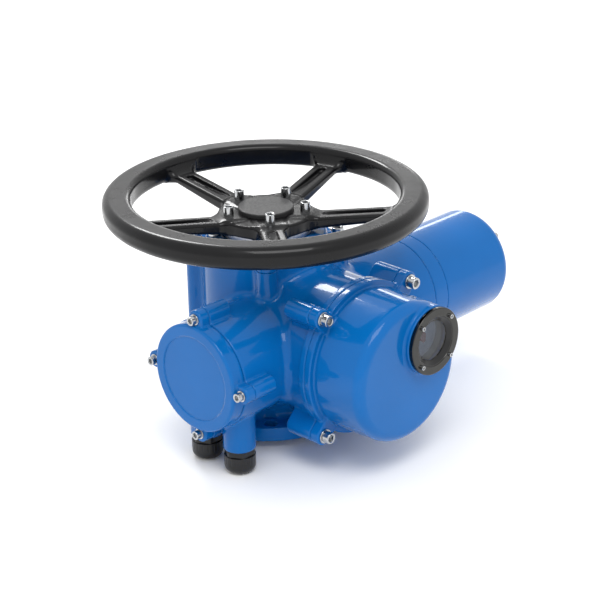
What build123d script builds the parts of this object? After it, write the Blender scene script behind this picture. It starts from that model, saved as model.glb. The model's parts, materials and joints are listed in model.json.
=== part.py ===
"""Multi-turn electric actuator with a top handwheel, built as an assembly of separate pieces.

Frame: the origin is the centre of the valve mounting face, +Z runs up the stem axis, +X points
to the control drum, -Y to the terminal drum and +Y to the motor. All sizes are millimetres.
"""
import math
import os

from build123d import *

# Shared axes
AXIS_Z = 102.5          # height of the control, terminal and motor axes above the mounting face
WORM_X = 48.0           # the worm, motor and terminal axis stands this far beside the stem axis
LEVER_Z = 166.0         # height of the declutch lever's shaft

# Clearances
CLEAR = 0.3             # between neighbours that move past each other
RUN = 0.08              # radial clearance of a shaft in its bearing
FIT = 0.05              # radial clearance of a piece seated in its bore

# Valve mounting flange
FLANGE_R = 92.5
FLANGE_T = 16.0
FLANGE_PCD = 160.0
FLANGE_HOLE_R = 7.0
FLANGE_HOLES = 4
SPIGOT_R = 62.5
SPIGOT_H = 3.5
SPIGOT_BORE_R = 50.0
SPIGOT_RECESS = 4.0
NECK_R = 68.0
NECK_FILLET = 6.0
CAST_FILLET = 5.0       # where the drums run into the tower and each other

# Tower
TOWER_R = 72.0
TOWER_WALL = 10.0
TOWER_TOP = 194.0
FLOOR_Z = 40.0
PILLAR_R = 11.0
PILLAR_REACH = 77.0
PILLAR_LOW = 112.0

# Control drum
CONTROL_R = 80.0
CONTROL_WALL = 10.0
CONTROL_JOINT = 135.0
CONTROL_DEPTH = 49.0
CONTROL_FLANGE_R = 84.0
CONTROL_FLANGE_T = 8.0
CONTROL_SEAL_R = 73.0
SEAL_HALF = 1.4
CONTROL_BOLT_REACH = 94.0
CONTROL_LUG_R = 10.5
CONTROL_LUG_LONG = 34.0
COVER_LUG_T = 12.0
COVER_R = 78.0
COVER_NOSE_R = 76.0
COVER_ROUND = 11.0
COVER_WALL = 6.0
COVER_FACE = 205.0

# Sight window on the control cover
WINDOW_Y = 29.0
WINDOW_UP = 30.3
WINDOW_BOSS_R = 39.0
WINDOW_BOSS_OUT = 6.0
WINDOW_BOSS_BACK = 30.0
WINDOW_R = 25.0
BEZEL_R = 36.5
BEZEL_T = 5.0
BEZEL_BOLT_REACH = 31.0
GLASS_R = 28.0
GLASS_T = 6.0
GASKET_T = 1.5

# Terminal drum
TERMINAL_R = 60.0
TERMINAL_WALL = 11.0
TERMINAL_JOINT = 140.0
TERMINAL_DEPTH = 56.0
TERMINAL_BOLT_REACH = 65.2
TERMINAL_LUG_R = 9.5
TERMINAL_LUG_LONG = 30.0
TERMINAL_FACE = 157.0
TERMINAL_ROUND = 3.0
TERMINAL_COVER_R = 59.0
TERMINAL_COVER_WALL = 6.0

# Cable entries
GLAND_OUT = 119.0       # distance of both entries from the stem axis along the terminal drum
GLAND_STEP = 25.0       # each entry stands this far beside the drum's axis
GLAND_BOSS_R = 17.5
GLAND_BOSS_LOW = 18.0
GLAND_THREAD_R = 12.5
GLAND_HEX = 30.0
GLAND_HEX_T = 7.0
GLAND_CAP_R = 16.8
GLAND_CAP_H = 20.0
GLAND_CAP_ROUND = 8.0
GLAND_CABLE_R = 7.0

# Motor
MOTOR_R = 60.0
MOTOR_JOINT = 157.0
MOTOR_RING = 21.0
MOTOR_END = 290.0
MOTOR_WALL = 6.5
MOTOR_END_WALL = 8.0
MOTOR_END_ROUND = 12.0
MOTOR_THROAT_R = 44.0
MOTOR_THROAT_LONG = 20.0
TIE_REACH = 49.5
TIE_SIZE = 6.0
STATOR_FROM = 196.0
STATOR_LONG = 56.0
STATOR_BORE_R = 31.6
WINDING_LONG = 11.0
ROTOR_R = 31.0
ROTOR_SHAFT_R = 12.0

# Worm drive: one right-hand thread on the worm, and the wheel's teeth
WHEEL_TEETH = 34
WHEEL_HALF = 10.0
WORM_PITCH_R = 14.0
WORM_LONG = 58.0
PRESSURE = 20.0         # flank angle of all the gears' teeth
BACKLASH = 0.25         # taken off the thickness of each tooth

# Worm shaft, its bearings and the coupling
WORM_BODY_R = 14.5
WORM_RELIEF = 6.0
CHAMBER_R = 27.0
CHAMBER_END = 59.0
FRONT_BEARING = (12.5, 26.0, 15.0)      # bore radius, outer radius, width
REAR_BEARING = (15.0, 31.0, 16.0)
REAR_BEARING_FROM = 70.0
DRIVE_BEARING = (12.5, 26.0, 15.0)
END_BEARING = (10.0, 23.5, 14.0)
PLATE_R = 42.0
PLATE_T = 5.0
PLATE_BOLT_REACH = 36.5
COUPLING_R = 23.0
COUPLING_FROM = 112.0
COUPLING_LONG = 36.0
SHAFT_JOINT = 130.0

# Output sleeve and what turns on it
SLEEVE_BORE_R = 21.0
SLEEVE_LOW = 4.0
SLEEVE_TOP = 214.0
SLEEVE_COLLAR_R = 34.0
SLEEVE_COLLAR_T = 7.0
SLEEVE_SEAT_R = 29.0
SLEEVE_MID_R = 27.0
SLEEVE_HEAD_R = 24.5
JAWS = 3
JAW_DEEP = 10.0
JAW_ANGLE = 50.0
SPLINES = 6
SPLINE_W = 6.0
SPLINE_DEEP = 2.2
LOWER_BEARING = (30.0, 42.5, 13.0)
LOWER_BEARING_Z = 24.0
SEAL_R = 40.0
SEAL_T = 8.0
WHEEL_HUB_R = 34.0
CROWN_R = 44.0

# Clutch
DOGS = 4
DOG_IN = 30.0
DOG_OUT = 37.0
DOG_ANGLE = 32.0
DOG_H = 7.0
DOG_GAP = 0.5
CLUTCH_TRAVEL = 8.5
CLUTCH_BORE_R = 27.3
GROOVE_R = 31.0
GROOVE_HALF = 6.1
PIN_R = 5.8
CRANK = 16.0
CRANK_T = 8.0

# Top cover, its bearing and the handwheel sleeve
TOP_COVER_T = 7.0
TOP_COVER_HIGH = 210.0
TOP_DOME_R = 65.0
TOP_SKIRT = 8.0
TOP_LIP_R = 40.0
HAND_BEARING = (32.5, 50.0, 11.0)
HAND_BEARING_Z = 195.0
HUB_SLEEVE_BORE_R = 27.5
HUB_COLLAR_R = 38.0
HUB_FLANGE_R = 49.5
HUB_FLANGE_T = 6.0
PLUG_R = 7.0
PLUG_REACH = 57.5
PLUG_ANGLE = 239.0

# Handwheel
HUB_Z = 217.0
HUB_T = 14.0
HUB_R = 52.0
HUB_BORE_R = 27.0
HUB_BOLT_REACH = 43.2
SPOKES = 5
SPOKE_ANGLE = -38.9
SPOKE_W = 27.0
SPOKE_RISE = 8.0
SPOKE_ROOT_ROUND = 8.0
SPOKE_RIM_ROUND = 15.0
SPOKE_GROOVE_W = 9.0
SPOKE_GROOVE_DEEP = 5.0
RIM_R = 175.0
RIM_IN_R = 144.0
RIM_TOP = 256.0
RIM_H = 25.0
CAP_R = 30.0
CAP_T = 6.0

# Declutch lever
LEVER_BOSS_R = 22.0
LEVER_BOSS_OUT = 80.0
LEVER_BUSH_R = 12.0
LEVER_WASHER_T = 2.0
LEVER_SHAFT_R = 9.0
LEVER_HUB_R = 16.5
LEVER_HUB_T = 18.0
LEVER_ARM = 92.0
LEVER_ARM_R = 6.5
LEVER_REST = 20.0       # the arm hangs this many degrees below level at rest
KNOB_R = 13.0

# Control shaft, counter and indicator
DRIVE_Z = 62.0
DRIVE_R = 5.0
PINION_TEETH = 10
CROWN_TEETH = 48
PINION_FROM = 31.0
PINION_LONG = 12.0
BOARD_R = 62.0
BOARD_T = 3.0
COUNTER_SIZE = (34.0, 46.0, 32.0)
TORQUE_SIZE = (30.0, 34.0, 40.0)
DIAL_X = 190.0
DIAL_R = 24.0
DIAL_T = 2.0
POST_R = 7.0
SPINDLE_R = 3.0

# Places that follow from the sizes above
SEAT_Z = LOWER_BEARING_Z + LOWER_BEARING[2]
COLLAR_TOP = SEAT_Z + CLEAR + SLEEVE_COLLAR_T
WHEEL_PITCH_R = WORM_X - WORM_PITCH_R
MODULE = 2 * WHEEL_PITCH_R / WHEEL_TEETH
WORM_LEAD = math.pi * MODULE
WORM_R = WORM_PITCH_R + MODULE
WORM_ROOT_R = WORM_PITCH_R - 1.25 * MODULE
PINION_FAR = PINION_FROM + PINION_LONG
BEVEL_MODULE = 2 * PINION_FAR / CROWN_TEETH
PINION_PITCH_R = PINION_FAR * PINION_TEETH / CROWN_TEETH
PINION_TIP_R = PINION_PITCH_R + 0.9 * BEVEL_MODULE
WHEEL_LOW = DRIVE_Z + PINION_TIP_R * WHEEL_HUB_R / PINION_FAR + 1.5
DOG_ROOT_Z = AXIS_Z + WHEEL_HALF + 1.5
CLUTCH_LOW = DOG_ROOT_Z + DOG_H + DOG_GAP
PIN_Z = LEVER_Z - CLUTCH_TRAVEL / 2
CLUTCH_HIGH = PIN_Z + GROOVE_HALF + 6.0
HUB_DOG_TIP = CLUTCH_HIGH + DOG_H + 1.5
HUB_DOG_ROOT = HUB_DOG_TIP + DOG_H + DOG_GAP
HUB_TOP = HUB_Z + HUB_T
CONTROL_FLOOR = CONTROL_JOINT - CONTROL_DEPTH
TERMINAL_FLOOR = TERMINAL_JOINT - TERMINAL_DEPTH
BOSS_FACE = COVER_FACE + WINDOW_BOSS_OUT
REAR_BEARING_END = REAR_BEARING_FROM + REAR_BEARING[2]
TUBE_FROM = MOTOR_JOINT + MOTOR_RING
STATOR_END = STATOR_FROM + STATOR_LONG
END_BEARING_FROM = MOTOR_END - MOTOR_END_WALL - END_BEARING[2]
CRANK_ANGLE = math.degrees(math.asin(CLUTCH_TRAVEL / 2 / CRANK))
DRIVE_DOWN = DRIVE_Z - AXIS_Z
FLANK = math.tan(math.radians(PRESSURE))
QUARTERS = (0, 90, 180, 270)
DIAGONALS = (45, 135, 225, 315)
GLANDS = {"left": WORM_X - GLAND_STEP, "right": WORM_X + GLAND_STEP}

# Local frames, in which +Z runs out along the drum or shaft and +Y stays up
CONTROL = Plane(origin=(0, 0, AXIS_Z), x_dir=(0, 1, 0), z_dir=(1, 0, 0)).location
TERMINAL = Plane(origin=(WORM_X, 0, AXIS_Z), x_dir=(1, 0, 0), z_dir=(0, -1, 0)).location
MOTOR = Plane(origin=(WORM_X, 0, AXIS_Z), x_dir=(-1, 0, 0), z_dir=(0, 1, 0)).location
LEVER = Plane(origin=(0, 0, LEVER_Z), x_dir=(-1, 0, 0), z_dir=(0, 1, 0)).location
WINDOW = CONTROL * Pos(WINDOW_Y, WINDOW_UP, 0)
DRIVE = CONTROL * Pos(0, DRIVE_DOWN, 0)


# General shapes

def rod(radius, low, high):
    """A cylinder on the local Z axis between two heights."""
    return Pos(0, 0, (low + high) / 2) * Cylinder(radius, high - low)


def ring(outer, inner, low, high):
    """A tube on the local Z axis between two heights."""
    return rod(outer, low, high) - rod(inner, low - 1, high + 1)


def spin(points):
    """A turned solid from its half outline of (radius, height) points."""
    return revolve(make_face(Plane.XZ * Polyline(*points, close=True)), Axis.Z)


def around(angles, reach, shape):
    """Copies of a shape stood off the local Z axis at the given angles."""
    return [Rot(0, 0, a) * Pos(reach, 0, 0) * shape for a in angles]


def lugs(angles, reach, radius, low, high):
    """Round ears, each joined to the axis by a web of its own width."""
    middle = (low + high) / 2
    ear = rod(radius, low, high) + Pos(-reach / 2, 0, middle) * Box(reach, 2 * radius, high - low)
    return around(angles, reach, ear)


def bearing(size, low):
    """A ball bearing: inner and outer rings with recessed shields between them."""
    bore, outer, width = size
    race = (outer - bore) * 0.28
    shield = 1.0
    body = ring(outer - FIT, bore, low, low + width)
    recess = ring(outer - race, bore + race, -1, shield)
    return body - Pos(0, 0, low) * recess - Pos(0, 0, low + width + 1 - shield) * recess


def seal_cord(middle_r, half, height):
    """A seal of square section, as it lies pressed in its groove."""
    return ring(middle_r + half, middle_r - half, height - half, height + half)


def cap_screw(size, shank):
    """A socket head screw whose head stands on the local XY plane."""
    body = rod(size * 0.8, 0, size) + rod(size / 2 - FIT, -shank, 0)
    body = chamfer(body.edges().sort_by(Axis.Z)[-1], size * 0.08)
    socket = Pos(0, 0, size * 0.45) * extrude(RegularPolygon(size * 0.42, 6, major_radius=False), size)
    return body - socket


def screws(size, shank, places, washers=True):
    """One screw at each place, with a flat washer under its head where asked."""
    thick = size * 0.2 if washers else 0
    out = [place * Pos(0, 0, thick) * cap_screw(size, shank) for place in places]
    if washers:
        out += [place * ring(size, size / 2 + FIT, 0, thick) for place in places]
    return out


def places(frame, angles, reach, height):
    """Places on a bolt circle of a local frame."""
    return [frame * Rot(0, 0, a) * Pos(reach, 0, height) for a in angles]


def bored(body, spots, radius, deep, proud=1.0):
    """The body with a hole down from each place."""
    return body - [spot * rod(radius, -deep, proud) for spot in spots]


def sector(half_angle, radius, low, high):
    """A wedge of a cylinder, centred on local +X."""
    half = math.radians(half_angle)
    tip = (radius * math.cos(half), radius * math.sin(half))
    face = make_face(Polyline((0, 0), (tip[0], -tip[1]), (2 * radius, -tip[1]), (2 * radius, tip[1]), tip,
                              close=True))
    return Pos(0, 0, low) * extrude(face, high - low)


def dogs(low, high, turned=0.0):
    """The ring of clutch dogs, evenly spaced, each one a sector of a tube."""
    blank = ring(DOG_OUT, DOG_IN, low, high)
    tooth = blank & sector(DOG_ANGLE / 2, DOG_OUT, low, high)
    return [Rot(0, 0, turned + 360 * k / DOGS) * tooth for k in range(DOGS)]


# Places of the fasteners, shared by the holes and the screws

TOP_SCREWS = places(Location((0, 0, 0)), DIAGONALS, PILLAR_REACH, TOWER_TOP + TOP_COVER_T)
CONTROL_SCREWS = places(CONTROL, DIAGONALS, CONTROL_BOLT_REACH, CONTROL_JOINT + COVER_LUG_T)
TERMINAL_SCREWS = places(TERMINAL, QUARTERS, TERMINAL_BOLT_REACH, TERMINAL_JOINT + COVER_LUG_T)
BEZEL_SCREWS = places(WINDOW, DIAGONALS, BEZEL_BOLT_REACH, BOSS_FACE + BEZEL_T)
PLATE_SCREWS = places(MOTOR, (90, 210, 330), PLATE_BOLT_REACH, REAR_BEARING_END + PLATE_T)
TIE_SCREWS = places(MOTOR, DIAGONALS, TIE_REACH, MOTOR_END - 4.0)
HUB_SCREWS = places(Location((0, 0, 0)), [SPOKE_ANGLE + 360 * k / SPOKES for k in range(SPOKES)],
                    HUB_BOLT_REACH, HUB_TOP)
TIE_LONG = TIE_SCREWS[0].position.Y - MOTOR_JOINT + 14.0


# Gear casing and its covers

def main_housing():
    """The gear casting: flange, neck, tower, two drums, the motor barrel and their lugs."""
    body = drums() + valve_foot()
    pillar = rod(PILLAR_R, PILLAR_LOW, TOWER_TOP) + Pos(0, 0, PILLAR_LOW) * Sphere(PILLAR_R)
    body += around(DIAGONALS, PILLAR_REACH, pillar)
    body += CONTROL * rod(CONTROL_FLANGE_R, CONTROL_JOINT - CONTROL_FLANGE_T, CONTROL_JOINT)
    body += [CONTROL * ear for ear in lugs(DIAGONALS, CONTROL_BOLT_REACH, CONTROL_LUG_R,
                                           CONTROL_JOINT - CONTROL_LUG_LONG, CONTROL_JOINT)]
    body += [TERMINAL * ear for ear in lugs(QUARTERS, TERMINAL_BOLT_REACH, TERMINAL_LUG_R,
                                            TERMINAL_JOINT - TERMINAL_LUG_LONG, TERMINAL_JOINT)]
    for x in GLANDS.values():
        body += Pos(x, -GLAND_OUT, 0) * rod(GLAND_BOSS_R, GLAND_BOSS_LOW, AXIS_Z - TERMINAL_R / 2)
    body += LEVER * rod(LEVER_BOSS_R, TOWER_R - 12, LEVER_BOSS_OUT)
    body -= housing_hollows()
    body = bored(body, TOP_SCREWS, 4.0, TOP_COVER_T + 20)
    body = bored(body, CONTROL_SCREWS, 4.0, COVER_LUG_T + 20)
    body = bored(body, TERMINAL_SCREWS, 3.0, COVER_LUG_T + 18)
    body = bored(body, PLATE_SCREWS, 3.0, PLATE_T + 12)
    return bored(body, TIE_SCREWS, TIE_SIZE / 2, TIE_LONG + 4)


def drums():
    """The tower, both drums and the motor barrel, with cast fillets where they run into each other."""
    body = CONTROL * rod(CONTROL_R, 0, CONTROL_JOINT) + MOTOR * rod(MOTOR_R, 0, MOTOR_JOINT)
    body += TERMINAL * Rot(0, 0, 45) * rod(TERMINAL_R, 0, TERMINAL_JOINT)   # its seam lies between the ears
    body += rod(TOWER_R, AXIS_Z / 2 - 6, TOWER_TOP)
    creases = [e for e in body.edges() if e.geom_type not in (GeomType.CIRCLE, GeomType.LINE)]
    return fillet(creases, CAST_FILLET)


def valve_foot():
    """The round flange that bolts to the valve, with its spigot and the neck above it."""
    body = rod(FLANGE_R, 0, FLANGE_T) + rod(NECK_R, 0, AXIS_Z / 2)
    foot = [e for e in body.edges().filter_by(GeomType.CIRCLE)
            if abs(e.center().Z - FLANGE_T) < 0.1 and abs(e.radius - NECK_R) < 0.1]
    body = fillet(foot, NECK_FILLET)
    rims = [e for e in body.edges().filter_by(GeomType.CIRCLE) if abs(e.radius - FLANGE_R) < 0.1]
    return chamfer(rims, 1.5) + rod(SPIGOT_R, -SPIGOT_H, 0)


def housing_hollows():
    """Everything bored or cored out of the gear casting."""
    cut = rod(TOWER_R - TOWER_WALL, FLOOR_Z, TOWER_TOP + 1)
    cut += rod(LOWER_BEARING[1], LOWER_BEARING_Z, FLOOR_Z + 1)
    cut += rod(SEAL_R, LOWER_BEARING_Z - 5 - SEAL_T, LOWER_BEARING_Z + 1)
    cut += rod(LOWER_BEARING[0] + 4, 0, LOWER_BEARING_Z)
    cut += rod(SPIGOT_BORE_R, -SPIGOT_H - 1, SPIGOT_RECESS)
    cut += MOTOR * rod(CHAMBER_R, -CHAMBER_END, REAR_BEARING_FROM + 1)
    cut += TERMINAL * rod(FRONT_BEARING[1], CHAMBER_END - 1, CHAMBER_END + FRONT_BEARING[2])
    cut += MOTOR * rod(REAR_BEARING[1], REAR_BEARING_FROM, REAR_BEARING_END + 1)
    cut += MOTOR * rod(MOTOR_R - 10, REAR_BEARING_END, MOTOR_JOINT - MOTOR_THROAT_LONG)
    cut += MOTOR * rod(MOTOR_THROAT_R, REAR_BEARING_END, MOTOR_JOINT + 1)
    cut += CONTROL * rod(CONTROL_R - CONTROL_WALL, CONTROL_FLOOR, CONTROL_JOINT + 1)
    cut += CONTROL * ring(CONTROL_SEAL_R + SEAL_HALF + FIT, CONTROL_SEAL_R - SEAL_HALF - FIT,
                          CONTROL_JOINT - 2 * SEAL_HALF, CONTROL_JOINT + 1)
    cut += DRIVE * rod(DRIVE_R + RUN, 50, CONTROL_FLOOR + 1)
    cut += TERMINAL * rod(TERMINAL_R - TERMINAL_WALL, TERMINAL_FLOOR, TERMINAL_JOINT + 1)
    for x in GLANDS.values():
        cut += Pos(x, -GLAND_OUT, 0) * rod(GLAND_THREAD_R, GLAND_BOSS_LOW - 1, AXIS_Z - TERMINAL_R / 2)
    cut += LEVER * rod(LEVER_BUSH_R, 40, LEVER_BOSS_OUT + 1)
    cut += [Rot(0, 0, 45 + 360 * k / FLANGE_HOLES) * Pos(FLANGE_PCD / 2, 0, 0)
            * rod(FLANGE_HOLE_R, -1, FLANGE_T + NECK_FILLET + 4) for k in range(FLANGE_HOLES)]
    return cut


def top_cover():
    """The cover that closes the tower and carries the handwheel's bearing."""
    body = rod(TOWER_R, TOWER_TOP, TOWER_TOP + TOP_COVER_T)
    body += around(DIAGONALS, PILLAR_REACH, rod(PILLAR_R, TOWER_TOP, TOWER_TOP + TOP_COVER_T))
    dome = rod(TOP_DOME_R, TOWER_TOP, TOP_COVER_HIGH)
    body += fillet(dome.edges().sort_by(Axis.Z)[-1], 3.0)
    body += rod(TOWER_R - TOWER_WALL - FIT, TOWER_TOP - TOP_SKIRT, TOWER_TOP)
    body -= rod(HAND_BEARING[1], TOWER_TOP - TOP_SKIRT - 1, HAND_BEARING_Z + HAND_BEARING[2])
    body -= rod(TOP_LIP_R, TOWER_TOP, TOP_COVER_HIGH + 1)
    body -= circlip_groove(HAND_BEARING[1], HAND_BEARING_Z)
    body -= ring(TOWER_R, TOWER_R - TOWER_WALL - 3.0, TOWER_TOP - 4.0, TOWER_TOP)
    plug = Rot(0, 0, PLUG_ANGLE) * Pos(PLUG_REACH, 0, TOP_COVER_HIGH)
    body -= plug * rod(4.0, -12.0, 1)
    return bored(body, TOP_SCREWS, 4.5, TOP_COVER_T + 1)


def circlip_groove(bore, height):
    """The groove for the spring ring that holds a bearing from below."""
    return ring(bore + 2.0, bore - 1, height - 2.0, height)


def bearing_circlip():
    """The open spring ring under the handwheel's bearing."""
    body = ring(HAND_BEARING[1] + 2.0 - FIT, HAND_BEARING[1] - 3.0, HAND_BEARING_Z - 1.9, HAND_BEARING_Z - FIT)
    return body - Pos(0, HAND_BEARING[1], HAND_BEARING_Z) * Box(10, 12, 10)


def oil_plug():
    """The oil filler plug on top of the cover."""
    head = rod(PLUG_R, 0, 3.0) + rod(4.0 - FIT, -11.0, 0)
    head -= Pos(0, 0, 1.0) * extrude(RegularPolygon(3.0, 6, major_radius=False), 3)
    return Rot(0, 0, PLUG_ANGLE) * Pos(PLUG_REACH, 0, TOP_COVER_HIGH) * head


def control_cover():
    """The deep round cover of the control drum, with its sight window boss."""
    flange_end = CONTROL_JOINT + CONTROL_FLANGE_T
    body = spin([(0, CONTROL_JOINT), (CONTROL_FLANGE_R, CONTROL_JOINT), (CONTROL_FLANGE_R, flange_end),
                 (COVER_R, flange_end), (COVER_NOSE_R, COVER_FACE), (0, COVER_FACE)])
    nose = [e for e in body.edges().filter_by(GeomType.CIRCLE) if abs(e.radius - COVER_NOSE_R) < 0.1]
    body = fillet(nose, COVER_ROUND)
    body += lugs(DIAGONALS, CONTROL_BOLT_REACH, CONTROL_LUG_R, CONTROL_JOINT, CONTROL_JOINT + COVER_LUG_T)
    body += Pos(WINDOW_Y, WINDOW_UP, 0) * rod(WINDOW_BOSS_R, COVER_FACE - WINDOW_BOSS_BACK, BOSS_FACE)
    inner_r = COVER_NOSE_R - COVER_WALL
    hollow = rod(inner_r, CONTROL_JOINT - 1, COVER_FACE - COVER_WALL)
    hollow = fillet(hollow.edges().sort_by(Axis.Z)[-1], COVER_ROUND - COVER_WALL)
    body -= hollow
    window = rod(WINDOW_R, COVER_FACE - WINDOW_BOSS_BACK, BOSS_FACE + 1)
    window += rod(GLASS_R, BOSS_FACE - GLASS_T - GASKET_T, BOSS_FACE + 1)
    body -= Pos(WINDOW_Y, WINDOW_UP, 0) * window
    body = CONTROL * body
    body = bored(body, CONTROL_SCREWS, 4.5, COVER_LUG_T + 1)
    return bored(body, BEZEL_SCREWS, 1.5, BEZEL_T + 8)


def window_bezel():
    """The bright ring that holds the glass, dished towards it."""
    body = WINDOW * spin([(WINDOW_R, BOSS_FACE), (BEZEL_R, BOSS_FACE), (BEZEL_R, BOSS_FACE + BEZEL_T - 1),
                          (BEZEL_R - 1, BOSS_FACE + BEZEL_T), (WINDOW_R + 2.5, BOSS_FACE + BEZEL_T),
                          (WINDOW_R, BOSS_FACE + 1.5)])
    return bored(body, BEZEL_SCREWS, 1.7, BEZEL_T + 1)


def terminal_cover():
    """The flat round cover of the terminal drum, with a low raised border."""
    out = TERMINAL_FACE
    body = rod(TERMINAL_COVER_R, TERMINAL_JOINT, out)
    body = fillet(body.edges().sort_by(Axis.Z)[-1], TERMINAL_ROUND)
    body += lugs(QUARTERS, TERMINAL_BOLT_REACH, TERMINAL_LUG_R, TERMINAL_JOINT, TERMINAL_JOINT + COVER_LUG_T)
    body -= rod(TERMINAL_COVER_R - 9.0, out - 1.2, out + 1)
    body -= rod(TERMINAL_R - TERMINAL_WALL, TERMINAL_JOINT - 1, out - TERMINAL_COVER_WALL)
    return bored(TERMINAL * body, TERMINAL_SCREWS, 3.4, COVER_LUG_T + 1)


# Motor

def motor_flange():
    """The ring between the gear casing and the motor tube, with the motor's drive end bearing seat."""
    spigot_r = MOTOR_THROAT_R - FIT
    tube_r = MOTOR_R - MOTOR_WALL - FIT
    body = rod(MOTOR_R, MOTOR_JOINT, TUBE_FROM) + rod(spigot_r, MOTOR_JOINT - 6, MOTOR_JOINT)
    body += rod(tube_r, TUBE_FROM, TUBE_FROM + 5)
    body -= rod(DRIVE_BEARING[1], TUBE_FROM + 5 - DRIVE_BEARING[2] - 1, TUBE_FROM + 6)
    body -= rod(ROTOR_SHAFT_R + 2, MOTOR_JOINT - 7, TUBE_FROM)
    body -= rod(MOTOR_THROAT_R - 8, MOTOR_JOINT - 7, MOTOR_JOINT + 4)
    return bored(MOTOR * body, TIE_SCREWS, TIE_SIZE / 2 + 0.3, TIE_LONG)


def motor_housing():
    """The smooth motor tube with its closed, rounded end."""
    body = rod(MOTOR_R, TUBE_FROM, MOTOR_END)
    body = fillet(body.edges().sort_by(Axis.Z)[-1], MOTOR_END_ROUND)
    body -= rod(MOTOR_R - MOTOR_WALL, TUBE_FROM - 1, MOTOR_END - MOTOR_END_WALL)
    body += rod(END_BEARING[1] + 5, END_BEARING_FROM - 1, MOTOR_END - 2)
    body += around(DIAGONALS, TIE_REACH, rod(TIE_SIZE, MOTOR_END - MOTOR_END_WALL - 8, MOTOR_END - 4))
    body -= rod(END_BEARING[1], END_BEARING_FROM - 2, MOTOR_END - MOTOR_END_WALL)
    body -= around(DIAGONALS, TIE_REACH, rod(TIE_SIZE, MOTOR_END - 4, MOTOR_END + 1))
    return bored(MOTOR * body, TIE_SCREWS, TIE_SIZE / 2 + 0.3, TIE_LONG)


def stator_core():
    """The laminated stator pack, notched for the tie screws."""
    body = ring(MOTOR_R - MOTOR_WALL - FIT, STATOR_BORE_R, STATOR_FROM, STATOR_END)
    slot = Pos(0, 0, (STATOR_FROM + STATOR_END) / 2) * Box(8, 3, STATOR_LONG + 2)
    body -= around([360 * (k + 0.5) / 24 for k in range(24)], STATOR_BORE_R, slot)
    body -= around(DIAGONALS, TIE_REACH, rod(TIE_SIZE / 2 + 0.6, STATOR_FROM - 1, STATOR_END + 1))
    return MOTOR * body


def stator_windings():
    """The end turns of the stator's coils, one bundle at each end."""
    outer, inner = TIE_REACH - TIE_SIZE, STATOR_BORE_R + 2
    ends = []
    for low in (STATOR_FROM - WINDING_LONG, STATOR_END):
        bundle = ring(outer, inner, low, low + WINDING_LONG)
        face = bundle.faces().sort_by(Axis.Z)[0 if low < STATOR_FROM else -1]
        ends.append(MOTOR * fillet(face.edges(), 3.0))
    return ends


def motor_rotor():
    """The cage rotor on its shaft."""
    core = fillet(rod(ROTOR_R, STATOR_FROM - 2, STATOR_END + 2).edges().filter_by(GeomType.CIRCLE), 1.0)
    shaft = rod(ROTOR_SHAFT_R, SHAFT_JOINT + 1, STATOR_END + 6)
    shaft += rod(DRIVE_BEARING[0] - RUN, TUBE_FROM + 5 - DRIVE_BEARING[2] - 1, STATOR_FROM)
    end_r = END_BEARING[0] - RUN
    shaft += rod(end_r, STATOR_END, END_BEARING_FROM + END_BEARING[2] - 2)
    return MOTOR * (core + shaft)


def shaft_coupling():
    """The clamped coupling between the worm shaft and the rotor's shaft."""
    body = rod(COUPLING_R, COUPLING_FROM, COUPLING_FROM + COUPLING_LONG)
    body = chamfer(body.edges().filter_by(GeomType.CIRCLE), 1.5)
    return MOTOR * (body - rod(ROTOR_SHAFT_R + FIT, COUPLING_FROM - 1, COUPLING_FROM + COUPLING_LONG + 1))


def worm_thread():
    """The worm's single right-hand thread, with a gap facing the wheel's tooth, trimmed at both ends."""
    foot = WORM_ROOT_R - 0.4
    thick = WORM_LEAD / 2 - BACKLASH
    low, high = [thick / 2 + (WORM_PITCH_R - r) * FLANK for r in (foot, WORM_R)]
    start = -WORM_LEAD * (round(WORM_LONG / WORM_LEAD / 2) + 1.5)
    tip = WORM_R + 0.001
    section = make_face(Plane.XZ * Polyline((foot, start - low), (tip, start - high), (tip, start + high),
                                            (foot, start + low), close=True))
    thread = sweep(section, path=Pos(0, 0, start) * Helix(WORM_LEAD, -2 * start, foot), is_frenet=True)
    half = WORM_LONG / 2
    return thread & chamfer(rod(WORM_R, -half, half).edges().filter_by(GeomType.CIRCLE), MODULE)


def worm_shaft():
    """The worm with its journals, cut from one bar."""
    half = WORM_LONG / 2
    front = FRONT_BEARING[0] - RUN
    rear = REAR_BEARING[0] - RUN
    body = rod(front, -CHAMBER_END - FRONT_BEARING[2] + 1, -CHAMBER_END + 1)
    body += rod(WORM_BODY_R, -CHAMBER_END + 1, -half - WORM_RELIEF)
    body += rod(WORM_ROOT_R, -half - WORM_RELIEF, half + WORM_RELIEF) + worm_thread()
    body += rod(WORM_BODY_R, half + WORM_RELIEF, REAR_BEARING_FROM - 1)
    body += rod(rear, REAR_BEARING_FROM - 1, REAR_BEARING_END + PLATE_T + 1)
    body += rod(ROTOR_SHAFT_R, REAR_BEARING_END, SHAFT_JOINT - 1)
    return MOTOR * body


def bearing_plate():
    """The plate that keeps the rear worm bearing in its seat."""
    body = MOTOR * ring(PLATE_R, REAR_BEARING[0] + 3, REAR_BEARING_END, REAR_BEARING_END + PLATE_T)
    return bored(body, PLATE_SCREWS, 3.4, PLATE_T + 1)


# Output train

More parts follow.
